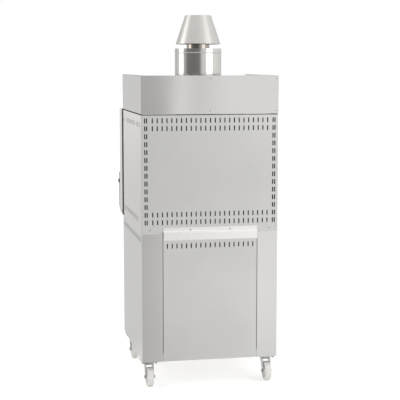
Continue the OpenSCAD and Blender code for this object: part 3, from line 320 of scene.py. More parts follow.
def brushedSteel(name, recipe):
    # stainless sheet brushed by a belt: the lines run one way and spread a highlight across them.
    # Real lines lie 0.1 mm apart, too fine to show, so they are drawn about 1 mm apart.
    material, tree, shader, place = newMaterial(name)
    across, along = 1000 / recipe["lineMm"], 1000 / recipe["runMm"]
    stretch = (across, across, along) if recipe["grain"] == "upright" else (along, along, across)
    lines = addNode(tree, "ShaderNodeMapping", {"Vector": place, "Scale": stretch})
    streak = addNode(tree, "ShaderNodeTexNoise", {
        "Vector": lines.outputs[0], "Scale": 1.0,
        "Detail": brushing["lineDetail"], "Roughness": brushing["lineContrast"]})
    cloud = addNode(tree, "ShaderNodeTexNoise", {
        "Vector": place, "Scale": 1000 / recipe["cloudMm"], "Detail": brushing["cloudDetail"]})
    tint = addNode(tree, "ShaderNodeMix", {
        "Factor": streak.outputs["Fac"], "A": linear(recipe["deep"]), "B": linear(recipe["pale"])},
        data_type="RGBA")
    faceTone = tint.outputs["Result"]
    if "slotShadeHex" in recipe:
        # the walls of the side vents are painted dark, a painted shade inside the slots: they lie
        # between the sheet's two faces, less than its thickness inside the outer face, and away
        # from the folds at its ends
        spot = addNode(tree, "ShaderNodeSeparateXYZ", {0: place})
        out = addNode(tree, "ShaderNodeMath", {0: spot.outputs["X"]}, operation="ABSOLUTE")
        slotShadeMask = 1.0
        for value, limit, test in (
                (out.outputs[0], sideFace - ventWall["sheet"], "GREATER_THAN"),
                (out.outputs[0], sideFace - ventWall["skin"], "LESS_THAN"),
                (spot.outputs["Y"], rearFace - ventWall["fold"], "LESS_THAN"),
                (spot.outputs["Y"], sideFront + ventWall["fold"], "GREATER_THAN")):
            within = addNode(tree, "ShaderNodeMath", {0: value, 1: limit}, operation=test)
            slotShadeMask = addNode(tree, "ShaderNodeMath", {
                0: within.outputs[0], 1: slotShadeMask}, operation="MULTIPLY").outputs[0]
        slotShadeMix = addNode(tree, "ShaderNodeMix", {
            "Factor": slotShadeMask, "A": faceTone, "B": linear(recipe["slotShadeHex"])}, data_type="RGBA")
        faceTone = slotShadeMix.outputs["Result"]
    tree.links.new(faceTone, shader.inputs["Base Color"])
    spread = addNode(tree, "ShaderNodeMapRange", {
        "Value": cloud.outputs["Fac"],
        "From Min": brushing["cloudLow"], "From Max": brushing["cloudHigh"],
        "To Min": recipe["roughness"] - brushing["roughnessSpread"],
        "To Max": recipe["roughness"] + brushing["roughnessSpread"]})
    tree.links.new(spread.outputs[0], shader.inputs["Roughness"])
    grain = addNode(tree, "ShaderNodeBump", {
        "Height": streak.outputs["Fac"],
        "Strength": recipe["relief"], "Distance": brushing["lineDepth"]})
    tree.links.new(grain.outputs[0], shader.inputs["Normal"])
    shader.inputs["Metallic"].default_value = 1.0
    shader.inputs["Anisotropic"].default_value = recipe["stretch"]
    # a quarter turn swaps the direction in which a highlight spreads
    quarterTurn = 0.0 if recipe["grain"] == "upright" else 0.25
    shader.inputs["Anisotropic Rotation"].default_value = quarterTurn
    around = addNode(tree, "ShaderNodeTangent", direction_type="RADIAL", axis="Z")
    tree.links.new(around.outputs[0], shader.inputs["Tangent"])
    return material


sheets = {
    # panels of casing, cabinet and doors: upright lines, a broad soft sheen
    "uprightBrushedSteel": {
        "grain": "upright", "pale": "#f2f1ef", "deep": "#eae9e7", "lineMm": 1.1, "runMm": 120,
        "cloudMm": 260, "roughness": 0.5, "relief": 0.25, "stretch": 0.8},
    # the same sheet on the sides, its colour a shade darker as painted shade, with painted shade on
    # its vent walls
    "shadedSideBrushedSteel": {
        "grain": "upright", "pale": "#edebe9", "deep": "#e5e3e1", "lineMm": 1.1, "runMm": 120,
        "cloudMm": 260, "roughness": 0.5, "relief": 0.25, "stretch": 0.8, "slotShadeHex": "#3c3936"},
    # surround and cabinet sides: level lines from a finer belt, which mirror in long streaks, and
    # the same painted shade on vent walls
    "levelBrushedSteel": {
        "grain": "level", "pale": "#e6e4e2", "deep": "#dcdad8", "lineMm": 1.1, "runMm": 120,
        "cloudMm": 260, "roughness": 0.2, "relief": 0.06, "stretch": 0.93, "slotShadeHex": "#3c3936"},
    # cover strip of mild steel dipped in aluminium: a pale, dull coat
    "aluminisedSteel": {
        "grain": "level", "pale": "#fffefc", "deep": "#fcfbf9", "lineMm": 2.0, "runMm": 200,
        "cloudMm": 200, "roughness": 0.7, "relief": 0.04, "stretch": 0.4},
    # spun hat: the roller's fine rings, dulled to satin by weather
    "spunSatinSteel": {
        "grain": "level", "pale": "#dad8d4", "deep": "#cecbc7", "lineMm": 1.0, "runMm": 400,
        "cloudMm": 120, "roughness": 0.34, "relief": 0.1, "stretch": 0.5},
    # tube of the handles: satin, rubbed smoother by hands
    "satinHandleTube": {
        "grain": "upright", "pale": "#cfcecb", "deep": "#c0bfbc", "lineMm": 0.8, "runMm": 60,
        "cloudMm": 80, "roughness": 0.3, "relief": 0.1, "stretch": 0.3},
}
steel = {name: brushedSteel(name, recipe) for name, recipe in sheets.items()}


polishing = {"waveDetail": 1.0, "waveDepth": 0.0012, "lineDetail": 2.0, "glossiest": 0.7,
             "dullest": 1.4}


def polishedSteel(name, recipe):
    # stainless tube, rolled and polished: nearly a mirror, with slow waves left by the rolls
    material, tree, shader, place = newMaterial(name)
    shader.inputs["Metallic"].default_value = 1.0
    across, along = 1000 / recipe["runMm"], 1000 / recipe["lineMm"]
    wave = addNode(tree, "ShaderNodeTexNoise", {
        "Vector": place, "Scale": 1000 / recipe["waveMm"], "Detail": polishing["waveDetail"]})
    lines = addNode(tree, "ShaderNodeMapping", {
        "Vector": place, "Scale": (across, across, along)})
    polish = addNode(tree, "ShaderNodeTexNoise", {
        "Vector": lines.outputs[0], "Scale": 1.0, "Detail": polishing["lineDetail"]})
    gloss = addNode(tree, "ShaderNodeMapRange", {
        "Value": polish.outputs["Fac"], "To Min": recipe["roughness"] * polishing["glossiest"],
        "To Max": recipe["roughness"] * polishing["dullest"]})
    tree.links.new(gloss.outputs[0], shader.inputs["Roughness"])
    tint = addNode(tree, "ShaderNodeMix", {
        "Factor": wave.outputs["Fac"], "A": linear(recipe["deep"]), "B": linear(recipe["pale"])},
        data_type="RGBA")
    tree.links.new(tint.outputs["Result"], shader.inputs["Base Color"])
    relief = addNode(tree, "ShaderNodeBump", {
        "Height": wave.outputs["Fac"],
        "Strength": recipe["relief"], "Distance": polishing["waveDepth"]})
    tree.links.new(relief.outputs[0], shader.inputs["Normal"])
    return material


polished = {
    # inner flue pipe: its colour set darker than the sleeve's, as painted shade where it shows in
    # the gap under the hat
    "shadeDarkenedFluePipe": {
        "pale": "#b5aea5", "deep": "#9c958c", "waveMm": 90, "runMm": 300, "lineMm": 3,
        "roughness": 0.1, "relief": 0.1},
    # outer sleeve: keeps its polish
    "polishedFlueTube": {
        "pale": "#d8d6d3", "deep": "#cbc9c6", "waveMm": 90, "runMm": 300, "lineMm": 3,
        "roughness": 0.13, "relief": 0.12},
    # rods of the grids, pins and shaft: drawn, with faint lines along and some heat colour
    "drawnStainlessRod": {
        "pale": "#cfcdca", "deep": "#a9a49c", "waveMm": 30, "runMm": 60, "lineMm": 2,
        "roughness": 0.22, "relief": 0.05},
    # screw heads and gauge case: turned, so a fine ring pattern and a tight highlight
    "turnedStainless": {
        "pale": "#d2d1ce", "deep": "#c2c1be", "waveMm": 20, "runMm": 20, "lineMm": 0.8,
        "roughness": 0.2, "relief": 0.05},
}
for name, recipe in polished.items():
    steel[name] = polishedSteel(name, recipe)


speckle = {"patchDetail": 5.0, "patchContrast": 0.6, "patchLow": 0.35, "patchHigh": 0.65,
           "grainDetail": 2.0, "fleckLow": 0.45, "fleckHigh": 0.7,
           "glossLow": 0.3, "glossHigh": 0.7}


def speckled(name, recipe):
    # matter with two tones in patches, fine flecks on top and a relief of its own grain size
    material, tree, shader, place = newMaterial(name)
    patch = addNode(tree, "ShaderNodeTexNoise", {
        "Vector": place, "Scale": 1000 / recipe["patchMm"],
        "Detail": speckle["patchDetail"], "Roughness": speckle["patchContrast"]})
    grain = addNode(tree, "ShaderNodeTexNoise", {
        "Vector": place, "Scale": 1000 / recipe["grainMm"], "Detail": speckle["grainDetail"]})
    spread = addNode(tree, "ShaderNodeMapRange", {
        "Value": patch.outputs["Fac"],
        "From Min": speckle["patchLow"], "From Max": speckle["patchHigh"]})
    tint = addNode(tree, "ShaderNodeMix", {
        "Factor": spread.outputs[0], "A": linear(recipe["deep"]), "B": linear(recipe["pale"])},
        data_type="RGBA")
    fleck = addNode(tree, "ShaderNodeMapRange", {
        "Value": grain.outputs["Fac"],
        "From Min": speckle["fleckLow"], "From Max": speckle["fleckHigh"],
        "To Max": recipe["fleck"]})
    flecked = addNode(tree, "ShaderNodeMix", {
        "Factor": fleck.outputs[0], "A": tint.outputs["Result"], "B": linear(recipe["fleckHex"])},
        data_type="RGBA")
    tree.links.new(flecked.outputs["Result"], shader.inputs["Base Color"])
    gloss = addNode(tree, "ShaderNodeMapRange", {
        "Value": patch.outputs["Fac"],
        "From Min": speckle["glossLow"], "From Max": speckle["glossHigh"],
        "To Min": recipe["roughness"] - recipe["spread"],
        "To Max": recipe["roughness"] + recipe["spread"]})
    tree.links.new(gloss.outputs[0], shader.inputs["Roughness"])
    # the relief is half a grain deep
    relief = addNode(tree, "ShaderNodeBump", {
        "Height": grain.outputs["Fac"],
        "Strength": recipe["relief"], "Distance": recipe["grainMm"] / 2000})
    tree.links.new(relief.outputs[0], shader.inputs["Normal"])
    shader.inputs["Metallic"].default_value = recipe.get("metallic", 0.0)
    return material


matters = {
    # sprayed heat-proof silicone paint, matt, with a slight orange peel
    "heatProofPaint": {
        "pale": "#303031", "deep": "#272728", "patchMm": 60, "grainMm": 1.2, "fleck": 0.15,
        "fleckHex": "#3f3f40", "roughness": 0.62, "spread": 0.06, "relief": 0.15},
    # mild steel plate after firing: brown and blue scale over a dull grey
    "firedSteelPlate": {
        "pale": "#6d625a", "deep": "#3a3634", "patchMm": 70, "grainMm": 1.5, "fleck": 0.35,
        "fleckHex": "#8a7a6c", "roughness": 0.55, "spread": 0.12, "relief": 0.2,
        "metallic": 0.85},
    # stainless liner after its first firing: a dull straw and grey bloom
    "heatBloomedLiner": {
        "pale": "#b3aba0", "deep": "#958c81", "patchMm": 90, "grainMm": 1.5, "fleck": 0.25,
        "fleckHex": "#a5947f", "roughness": 0.45, "spread": 0.08, "relief": 0.08,
        "metallic": 1.0},
    # grey iron, sand cast: a coarse even skin
    "sandCastIron": {
        "pale": "#4a4846", "deep": "#343231", "patchMm": 40, "grainMm": 1.0, "fleck": 0.3,
        "fleckHex": "#5e5a56", "roughness": 0.7, "spread": 0.06, "relief": 0.6, "metallic": 0.5},
    # pressed fireclay brick: sandy, porous, with pale and rusty grains
    "pressedFireclay": {
        "pale": "#cdb28a", "deep": "#b1936c", "patchMm": 45, "grainMm": 2.0, "fleck": 0.6,
        "fleckHex": "#8c6a4a", "roughness": 0.92, "spread": 0.04, "relief": 0.7},
    # rigid fibre board, coloured near black as painted shade: what the slots show stays dark
    "shadeDarkFibreBoard": {
        "pale": "#3d3b39", "deep": "#2f2d2c", "patchMm": 30, "grainMm": 1.6, "fleck": 0.4,
        "fleckHex": "#4d4a47", "roughness": 0.95, "spread": 0.03, "relief": 0.5},
    # black, dull strip, a painted shadow: the joint it fills reads as a dark line
    "shadowLineStrip": {
        "pale": "#262525", "deep": "#1c1b1b", "patchMm": 25, "grainMm": 0.8, "fleck": 0.2,
        "fleckHex": "#343333", "roughness": 0.85, "spread": 0.05, "relief": 0.3},
    # black phenolic moulding: smooth with a dull sheen
    "mouldedPhenolic": {
        "pale": "#1f1f20", "deep": "#18181a", "patchMm": 20, "grainMm": 0.6, "fleck": 0.2,
        "fleckHex": "#2a2a2c", "roughness": 0.38, "spread": 0.04, "relief": 0.06},
    # bright zinc plate on a pressing: pale grey with a soft bloom
    "brightZincPlate": {
        "pale": "#c9c9ca", "deep": "#a9aaac", "patchMm": 14, "grainMm": 0.8, "fleck": 0.3,
        "fleckHex": "#dcdcdd", "roughness": 0.34, "spread": 0.08, "relief": 0.08,
        "metallic": 1.0},
    # polyamide castor wheel, injection moulded: milky white, slightly waxy
    "mouldedPolyamide": {
        "pale": "#f6f5f2", "deep": "#eeece8", "patchMm": 25, "grainMm": 0.9, "fleck": 0.25,
        "fleckHex": "#d9d6cf", "roughness": 0.42, "spread": 0.05, "relief": 0.08},
    # stoved enamel on the needle: red, with a smooth shine
    "redNeedleEnamel": {
        "pale": "#c22a1e", "deep": "#b5241a", "patchMm": 8, "grainMm": 0.5, "fleck": 0.1,
        "fleckHex": "#d24a3c", "roughness": 0.3, "spread": 0.04, "relief": 0.04},
    # printed dial: white enamel with a faint tooth
    "whiteDialEnamel": {
        "pale": "#f4f3ee", "deep": "#eeede7", "patchMm": 12, "grainMm": 0.5, "fleck": 0.1,
        "fleckHex": "#e2e0d8", "roughness": 0.45, "spread": 0.04, "relief": 0.04},
    # ink of the ticks and figures: black, a little duller than the dial
    "blackDialInk": {
        "pale": "#1b1b1d", "deep": "#151517", "patchMm": 6, "grainMm": 0.4, "fleck": 0.1,
        "fleckHex": "#242426", "roughness": 0.5, "spread": 0.04, "relief": 0.04},
}
matter = {name: speckled(name, recipe) for name, recipe in matters.items()}

# braided graphite rope: dull black-grey strands that cross at a slant
braid = {"strandMm": 2.2, "pale": "#575655", "deep": "#262525",
         "relief": 0.7, "depth": 0.001, "roughness": 0.9}
ropeFibre, tree, shader, place = newMaterial("braidedGraphiteRope")
strand = addNode(tree, "ShaderNodeTexVoronoi", {"Vector": place, "Scale": 1000 / braid["strandMm"]})
tuft = addNode(tree, "ShaderNodeMix", {
    "Factor": strand.outputs["Distance"], "A": linear(braid["pale"]), "B": linear(braid["deep"])},
    data_type="RGBA")
tree.links.new(tuft.outputs["Result"], shader.inputs["Base Color"])
weave = addNode(tree, "ShaderNodeBump", {
    "Height": strand.outputs["Distance"],
    "Strength": braid["relief"], "Distance": braid["depth"]}, invert=True)
tree.links.new(weave.outputs[0], shader.inputs["Normal"])
shader.inputs["Roughness"].default_value = braid["roughness"]

# float glass over the dial: clear, with a trace of haze
glass = {"hazeMm": 25, "roughest": 0.05, "deep": "#f6fbfa", "pale": "#fbfdfd", "ior": 1.45}
dialGlass, tree, shader, place = newMaterial("floatGlass")
haze = addNode(tree, "ShaderNodeTexNoise", {
    "Vector": place, "Scale": 1000 / glass["hazeMm"], "Detail": 2.0})
smear = addNode(tree, "ShaderNodeMapRange", {
    "Value": haze.outputs["Fac"], "To Min": 0.0, "To Max": glass["roughest"]})
tree.links.new(smear.outputs[0], shader.inputs["Roughness"])
tintGlass = addNode(tree, "ShaderNodeMix", {
    "Factor": haze.outputs["Fac"], "A": linear(glass["deep"]), "B": linear(glass["pale"])},
    data_type="RGBA")
tree.links.new(tintGlass.outputs["Result"], shader.inputs["Base Color"])
shader.inputs["Transmission Weight"].default_value = 1.0
shader.inputs["IOR"].default_value = glass["ior"]

finish = {
    steel["uprightBrushedSteel"]: [
        "rear_casing", "roof", "cabinet_rear_panel", "cabinet_floor", "cabinet_top",
        "cabinet_fascia", "air_slider", "cabinet_door_left", "cabinet_door_right", "door_outer"],
    steel["shadedSideBrushedSteel"]: ["side_casing_left", "side_casing_right"],
    steel["levelBrushedSteel"]: [
        "shroud_rear", "shroud_left", "shroud_right", "cabinet_side_left", "cabinet_side_right",
        "flue_spider"],
    steel["aluminisedSteel"]: ["joint_cover"],
    steel["spunSatinSteel"]: ["hat"],
    steel["satinHandleTube"]: [
        "handle_bar", "door_pull_left", "door_pull_right", "handle_brackets"],
    steel["shadeDarkenedFluePipe"]: ["flue_pipe"],
    steel["polishedFlueTube"]: ["flue_sleeve"],
    steel["drawnStainlessRod"]: ["lower_grid", "upper_grid", "damper_shaft", "hinge_pins"],
    steel["turnedStainless"]: ["thermometer_case"],
    matter["heatProofPaint"]: ["mouth_frame", "hinge_brackets", "base_frame"],
    matter["firedSteelPlate"]: ["firebox", "grid_racks", "ash_pan", "damper_disc"],
    matter["heatBloomedLiner"]: ["door_inner"],
    matter["sandCastIron"]: ["charcoal_grate"],
    matter["pressedFireclay"]: ["fire_bricks"],
    matter["shadeDarkFibreBoard"]: ["insulation", "door_insulation"],
    matter["mouldedPhenolic"]: ["handle_caps"],
    matter["brightZincPlate"]: [
        "castor_plates", "fork_front_left", "fork_front_right", "fork_rear_left", "fork_rear_right",
        "brake_front_left", "brake_front_right", "cabinet_hinges"],
    matter["mouldedPolyamide"]: [
        "wheel_front_left", "wheel_front_right", "wheel_rear_left", "wheel_rear_right"],
    matter["redNeedleEnamel"]: ["thermometer_needle"],
    dialGlass: ["thermometer_glass"],
    ropeFibre: ["door_gasket"],
}
for material, names in finish.items():
    for name in names:
        nodes[name].data.materials.clear()
        nodes[name].data.materials.append(material)
bare = sorted(set(nodes) - set(sum(finish.values(), [])))
print("materials:", len(finish), "finishes, nodes without one:", bare)


def dress(piece, material, body):
    # gives a new piece its finish and the body it moves with
    piece.data.materials.append(material)
    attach(piece, body)
    return piece


def facing(direction):
    # two directions square to the given one, and that one: the first is its cross product with Z
    # (or X, where the given one is upright), the second its cross product with the first
    n = np.array(direction, float)
    side = np.cross(n, (0, 0, 1)) if abs(n[2]) < 0.9 else np.array([1.0, 0, 0])
    side /= np.linalg.norm(side)
    return side, np.cross(n, side), n


headShape = {"rings": (0, 0.16, 0.3, 0.44, 0.56, 0.7, 0.84, 0.95, 1.0, 1.0, 0), "sides": 32,
             "fall": 0.55, "power": 2.6, "armHalf": 0.17, "armEdge": 0.08, "armEnd": 0.6,
             "armFade": 0.1, "armDepth": 0.55}


def screwHeads(name, places, direction, size):
    # pan head: a dome over the radius, less a cross recess, which is deepest where the smaller of
    # the two offsets from the middle is small; the outer ring drops to the sheet and closes below
    turn = np.linspace(0, 2 * np.pi, headShape["sides"], endpoint=False)
    r, t = np.meshgrid(np.array(headShape["rings"]), turn, indexing="ij")
    height = size["height"] * (1 - headShape["fall"] * r ** headShape["power"])
    height[-2:] = 0
    offX, offY = np.abs(r * np.cos(t)), np.abs(r * np.sin(t))
    arm = np.clip((headShape["armHalf"] - np.minimum(offX, offY)) / headShape["armEdge"], 0, 1) \
        * np.clip((headShape["armEnd"] - r) / headShape["armFade"], 0, 1)
    height[:-2] -= headShape["armDepth"] * size["height"] * arm[:-2]
    side, up, out = facing(direction)
    one = (r * np.cos(t))[..., None] * side * size["radius"] \
        + (r * np.sin(t))[..., None] * up * size["radius"] + height[..., None] * out
    many = np.array(places)[:, None, None, :] + one[None]
    return surface(name, many, wrapV=True)


casingScrews = {"radius": 0.0042, "height": 0.0022, "rise": 0.019,
                "casingX": 0.312, "coverX": 0.104, "flange": 0.0015}
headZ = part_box("rear_casing")[0].z + casingScrews["rise"]
places = [(s * casingScrews["casingX"], rearFace, headZ) for s in (-1, 1)]
places += [(s * casingScrews["coverX"], rearFace + casingScrews["flange"], headZ) for s in (-1, 1)]
dress(screwHeads("casing_screws", places, (0, 1, 0), casingScrews),
      steel["turnedStainless"], "oven")

surroundScrews = {"radius": 0.0042, "height": 0.0022, "x": (-0.347, 0, 0.347),
                  "underHead": 0.015, "overFoot": 0.022}
surroundFoot, surroundHead = [corner.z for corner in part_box("shroud_rear")]
places = [(x, rearFace, z) for x in surroundScrews["x"]
          for z in (surroundHead - surroundScrews["underHead"],
                    surroundFoot + surroundScrews["overFoot"])]
dress(screwHeads("surround_screws", places, (0, 1, 0), surroundScrews),
      steel["turnedStainless"], "oven")

sleeveScrews = {"radius": 0.0045, "height": 0.0025, "setIn": 0.007, "flange": 0.0015,
                "turns": (45, 135, 225, 315)}
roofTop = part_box("roof")[1].z
sleeveLow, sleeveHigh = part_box("flue_sleeve")
ringRadius = (sleeveHigh.x - sleeveLow.x) / 2 - sleeveScrews["setIn"]
places = [(ringRadius * math.cos(math.radians(a)),
           flueCentre[1] + ringRadius * math.sin(math.radians(a)),
           roofTop + sleeveScrews["flange"]) for a in sleeveScrews["turns"]]
dress(screwHeads("sleeve_foot_screws", places, (0, 0, 1), sleeveScrews),
      steel["turnedStainless"], "oven")

# the cheeks' flanges lie on the door's front face
cheekScrews = {"radius": 0.0042, "height": 0.0022, "flange": 0.003, "setIn": 0.0145,
               "fromEnds": 0.015}
cheekLow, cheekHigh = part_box("handle_brackets")
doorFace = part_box("door_outer")[0].y
places = [(s * (cheekHigh.x - cheekScrews["setIn"]), doorFace - cheekScrews["flange"], z)
          for s in (-1, 1)
          for z in (cheekLow.z + cheekScrews["fromEnds"], cheekHigh.z - cheekScrews["fromEnds"])]
dress(screwHeads("cheek_screws", places, (0, -1, 0), cheekScrews),
      steel["turnedStainless"], "oven_door")

guideScrews = {"radius": 0.003, "height": 0.0016, "x": 0.153, "rise": 0.0295}
sliderLow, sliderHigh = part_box("air_slider")
guideZ = (sliderLow.z + sliderHigh.z) / 2
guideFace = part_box("cabinet_fascia")[0].y
places = [(s * guideScrews["x"], guideFace, guideZ + k * guideScrews["rise"])
          for s in (-1, 1) for k in (-1, 1)]
dress(screwHeads("guide_screws", places, (0, -1, 0), guideScrews),
      steel["turnedStainless"], "oven")

earScrews = {"radius": 0.0032, "height": 0.0018, "setIn": 0.0082, "lip": 0.004,
             "rises": (0.033, 0.050)}
earLow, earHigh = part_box("hinge_brackets")
places = [(s * (earHigh.x - earScrews["setIn"]), earHigh.y - earScrews["lip"], earLow.z + rise)
          for s in (-1, 1) for rise in earScrews["rises"]]
dress(screwHeads("ear_screws", places, (0, -1, 0), earScrews),
      matter["heatProofPaint"], "oven")

castorBolts = {"radius": 0.0065, "height": 0.0055, "plateX": 0.314, "plateMm": (74, 666),
               "plate": 0.010, "apartX": 0.032, "apartY": 0.040, "sides": 24,
               "profile": ((0, 1), (0.8, 1), (1, 0.86), (1, 0), (0, 0))}


def hexHeads(name, places, direction, size):
    # hexagon head: the outline radius swells towards six corners, 1 / cos of the angle from the
    # middle of the flat, but not at the crown, which a chamfer joins to the corners
    profile = np.array(size["profile"], float)
    turn = np.linspace(0, 2 * np.pi, size["sides"], endpoint=False)
    corner = 1 / np.cos((turn % (np.pi / 3)) - np.pi / 6)
    crown = profile[:, 1][:, None] == 1
    r = profile[:, 0][:, None] * np.where(crown, 1.0, corner[None]) * size["radius"]
    side, up, out = facing(direction)
    one = r[..., None] * np.cos(turn)[None, :, None] * side \
        + r[..., None] * np.sin(turn)[None, :, None] * up \
        + (profile[:, 1] * size["height"])[:, None, None] * out
    many = np.array(places)[:, None, None, :] + one[None]
    return surface(name, many, wrapV=True, smooth=False)


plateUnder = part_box("castor_plates")[1].z - castorBolts["plate"]
places = [(s * castorBolts["plateX"] + a * castorBolts["apartX"],
           depth(mm) + b * castorBolts["apartY"], plateUnder)
          for s in (-1, 1) for mm in castorBolts["plateMm"] for a in (-1, 1) for b in (-1, 1)]
dress(hexHeads("castor_bolts", places, (0, 0, -1), castorBolts),
      matter["brightZincPlate"], "oven")
print("screws and bolts placed")


rope = {"halfWide": 0.006, "halfDeep": 0.0028, "corner": 0.018, "steps": 840, "sides": 12,
        "dip": 0.07, "strand": 0.012}
low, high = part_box("door_gasket")


def roundedLoop(halfX, halfZ, corner, count):
    # places evenly spaced along a rectangle with round corners, the outward directions there and
    # the length walked to each. A place on a side lies back from the next corner's start by what is
    # left of the side; in a corner the outward direction turns with the length run there
    straightX, straightZ, bend = 2 * (halfX - corner), 2 * (halfZ - corner), corner * np.pi / 2
    lengths = np.array([straightX, bend, straightZ, bend] * 2)
    ends = np.concatenate([[0], np.cumsum(lengths)])
    walked = np.linspace(0, ends[-1], count, endpoint=False)
    part = np.searchsorted(ends, walked, side="right") - 1
    run = walked - ends[part]
    isBend = part % 2 == 1
    quarter = part // 2
    angle = np.pi / 2 - quarter * np.pi / 2 - np.where(isBend, run / corner, 0)
    out = np.stack([np.cos(angle), np.sin(angle)], -1)
    ahead = np.stack([np.sin(angle), -np.cos(angle)], -1)
    signX = np.array([1, 1, -1, -1])[quarter]
    signZ = np.array([1, -1, -1, 1])[quarter]
    centre = np.stack([signX * (halfX - corner), signZ * (halfZ - corner)], -1)
    back = np.where(isBend, 0, lengths[part] - run)
    return centre + out * corner - ahead * back[:, None], out, walked


path, outward, walked = roundedLoop(
    (high.x - low.x) / 2 - rope["halfWide"], (high.z - low.z) / 2 - rope["halfWide"],
    rope["corner"], rope["steps"])
theta = np.linspace(0, 2 * np.pi, rope["sides"], endpoint=False)
# flattened round section; slanting strands dip it a little along the rope
slant = 2 * theta[None] + walked[:, None] * 2 * np.pi / rope["strand"]
swell = 1 - rope["dip"] * (1 + np.cos(slant)) / 2
wide = rope["halfWide"] * np.cos(theta)[None] * swell
deep = rope["halfDeep"] * np.sin(theta)[None] * swell
ropePlaces = np.stack([
    path[:, :1] + outward[:, :1] * wide,
    (high.y + low.y) / 2 + deep,
    (high.z + low.z) / 2 + path[:, 1:] + outward[:, 1:] * wide], -1)
ropeSeal = surface("rope_seal", ropePlaces, wrapU=True, wrapV=True)
dress(ropeSeal, ropeFibre, "oven_door")
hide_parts("door_gasket")
print("rope seal made")

# a dark strip in the joint under the surround, a painted shadow line, set in from its outer faces
# and clear of its feet
shadowStrip = {"setIn": 0.0015, "wide": 0.003, "high": 0.0035, "stopShort": 0.002}
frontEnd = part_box("roof")[0].y + shadowStrip["stopShort"]
# the U seen from above, as its outer and its inner line: front end, two rear corners, front end
lines = [np.array([[sideFace - d, frontEnd], [sideFace - d, rearFace - d],
                   [d - sideFace, rearFace - d], [d - sideFace, frontEnd]])
         for d in (shadowStrip["setIn"], shadowStrip["setIn"] + shadowStrip["wide"])]
# the section at each of these places: outer foot, outer head, inner head, inner foot
section = np.stack([np.column_stack([lines[k], np.full(4, z)]) for k, z in (
    (0, roofTop), (0, roofTop + shadowStrip["high"]), (1, roofTop + shadowStrip["high"]), (1, roofTop))], 1)
firstEnd, lastEnd = [np.broadcast_to(section[k].mean(0), (1, 4, 3)) for k in (0, -1)]
tapePlaces = np.concatenate([firstEnd, section, lastEnd])
dress(surface("surround_shadow_strip", tapePlaces, wrapV=True, smooth=False),
      matter["shadowLineStrip"], "oven")
print("surround tape laid")


dial = {
    "floor": 0.003, "face": 0.0034, "ink": 0.0001,
    "discRings": (0.0026, 0.010, 0.022, 0.0315), "discSides": 64,
    "start": 225, "sweep": 270, "steps": 50, "longEvery": 5,
    "longFrom": 0.0235, "shortFrom": 0.0262, "tickEnd": 0.0292,
    "longHalf": 0.00045, "shortHalf": 0.0002,
    "numbers": 6, "numberStep": 100, "figureRing": 0.0182, "figureSize": 0.0058,
}
dialFloor, dialFace = doorFace - dial["floor"], doorFace - dial["face"]
caseLow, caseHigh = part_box("thermometer_case")
gaugeZ = (caseLow.z + caseHigh.z) / 2

# disc with a hole for the pin, its section a thin rectangle that is turned about the pin
rings = dial["discRings"]
section = np.array(
    [(rings[0], dialFloor)] + [(r, dialFace) for r in rings] + [(rings[-1], dialFloor)])
t = np.linspace(0, 2 * np.pi, dial["discSides"], endpoint=False)[None]
r = section[:, :1]
disc = np.stack([r * np.cos(t), section[:, 1:] + 0 * t, gaugeZ + r * np.sin(t)], -1)
dress(surface("dial_face", disc, wrapU=True, wrapV=True, smooth=False),
      matter["whiteDialEnamel"], "oven_door")

# ticks: thin bars along the radius, some of them longer and thicker, each closed at both ends
steps = np.arange(dial["steps"] + 1)
major = steps % dial["longEvery"] == 0
turn = np.radians(dial["start"] - dial["sweep"] * steps / dial["steps"])
along = np.stack([np.cos(turn), np.sin(turn)], -1)[:, None, None]
beside = np.stack([-np.sin(turn), np.cos(turn)], -1)[:, None, None]
tickStart = np.where(major, dial["longFrom"], dial["shortFrom"])
reach = np.stack([tickStart, np.full(len(steps), dial["tickEnd"])], -1)[:, [0, 0, 1, 1], None, None]
halfWidth = np.where(major, dial["longHalf"], dial["shortHalf"])[:, None, None, None]
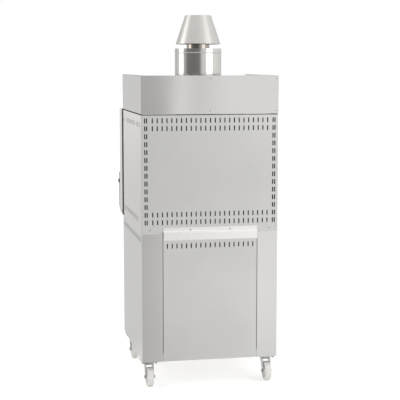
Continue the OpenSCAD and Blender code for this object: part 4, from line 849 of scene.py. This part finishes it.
# the four corners of a bar's section: across the bar, and towards the front
acrossBar = np.array([-1, 1, 1, -1])[None, None, :, None]
frontward = np.array([0, 0, 1, 1])[None, None, :, None]
# the first and last grid line fall together in one point, which closes the bar
pinch = np.array([0, 1, 1, 0])[None, :, None, None]
flat = along * reach + beside * halfWidth * acrossBar * pinch
sunk = dialFace - dial["ink"] * np.where(pinch > 0, frontward, 0.5) + 0 * flat[..., :1]
ticks = np.stack([flat[..., 0], sunk[..., 0], gaugeZ + flat[..., 1]], -1)
dress(surface("dial_ticks", ticks, wrapV=True, smooth=False),
      matter["blackDialInk"], "oven_door")

# figures: each is made as text, turned into a mesh, then moved to its place on the dial's face
joined = bmesh.new()
for i in range(dial["numbers"]):
    text = bpy.data.curves.new("figure", "FONT")
    text.body = str(i * dial["numberStep"])
    text.size = dial["figureSize"]
    text.extrude = dial["ink"] / 2
    text.align_x = text.align_y = "CENTER"
    holder = bpy.data.objects.new("figure", text)
    bpy.context.scene.collection.objects.link(holder)
    bpy.context.view_layer.update()
    ready = holder.evaluated_get(bpy.context.evaluated_depsgraph_get())
    mesh = bpy.data.meshes.new_from_object(ready)
    flatPlaces = np.zeros(len(mesh.vertices) * 3)
    mesh.vertices.foreach_get("co", flatPlaces)
    flatPlaces = flatPlaces.reshape(-1, 3)
    angle = math.radians(dial["start"] - dial["sweep"] * i / (dial["numbers"] - 1))
    moved = np.stack([
        flatPlaces[:, 0] + dial["figureRing"] * math.cos(angle),
        dialFace - dial["ink"] / 2 - flatPlaces[:, 2],
        flatPlaces[:, 1] + gaugeZ + dial["figureRing"] * math.sin(angle)], -1)
    mesh.vertices.foreach_set("co", moved.ravel())
    joined.from_mesh(mesh)
    bpy.data.objects.remove(holder)
bmesh.ops.remove_doubles(joined, verts=joined.verts, dist=mergeDistance)
bmesh.ops.recalc_face_normals(joined, faces=joined.faces)
numberMesh = bpy.data.meshes.new("dial_figures")
joined.to_mesh(numberMesh)
joined.free()
numbers = bpy.data.objects.new("dial_figures", numberMesh)
bpy.context.scene.collection.objects.link(numbers)
dress(numbers, matter["blackDialInk"], "oven_door")
print("dial made")
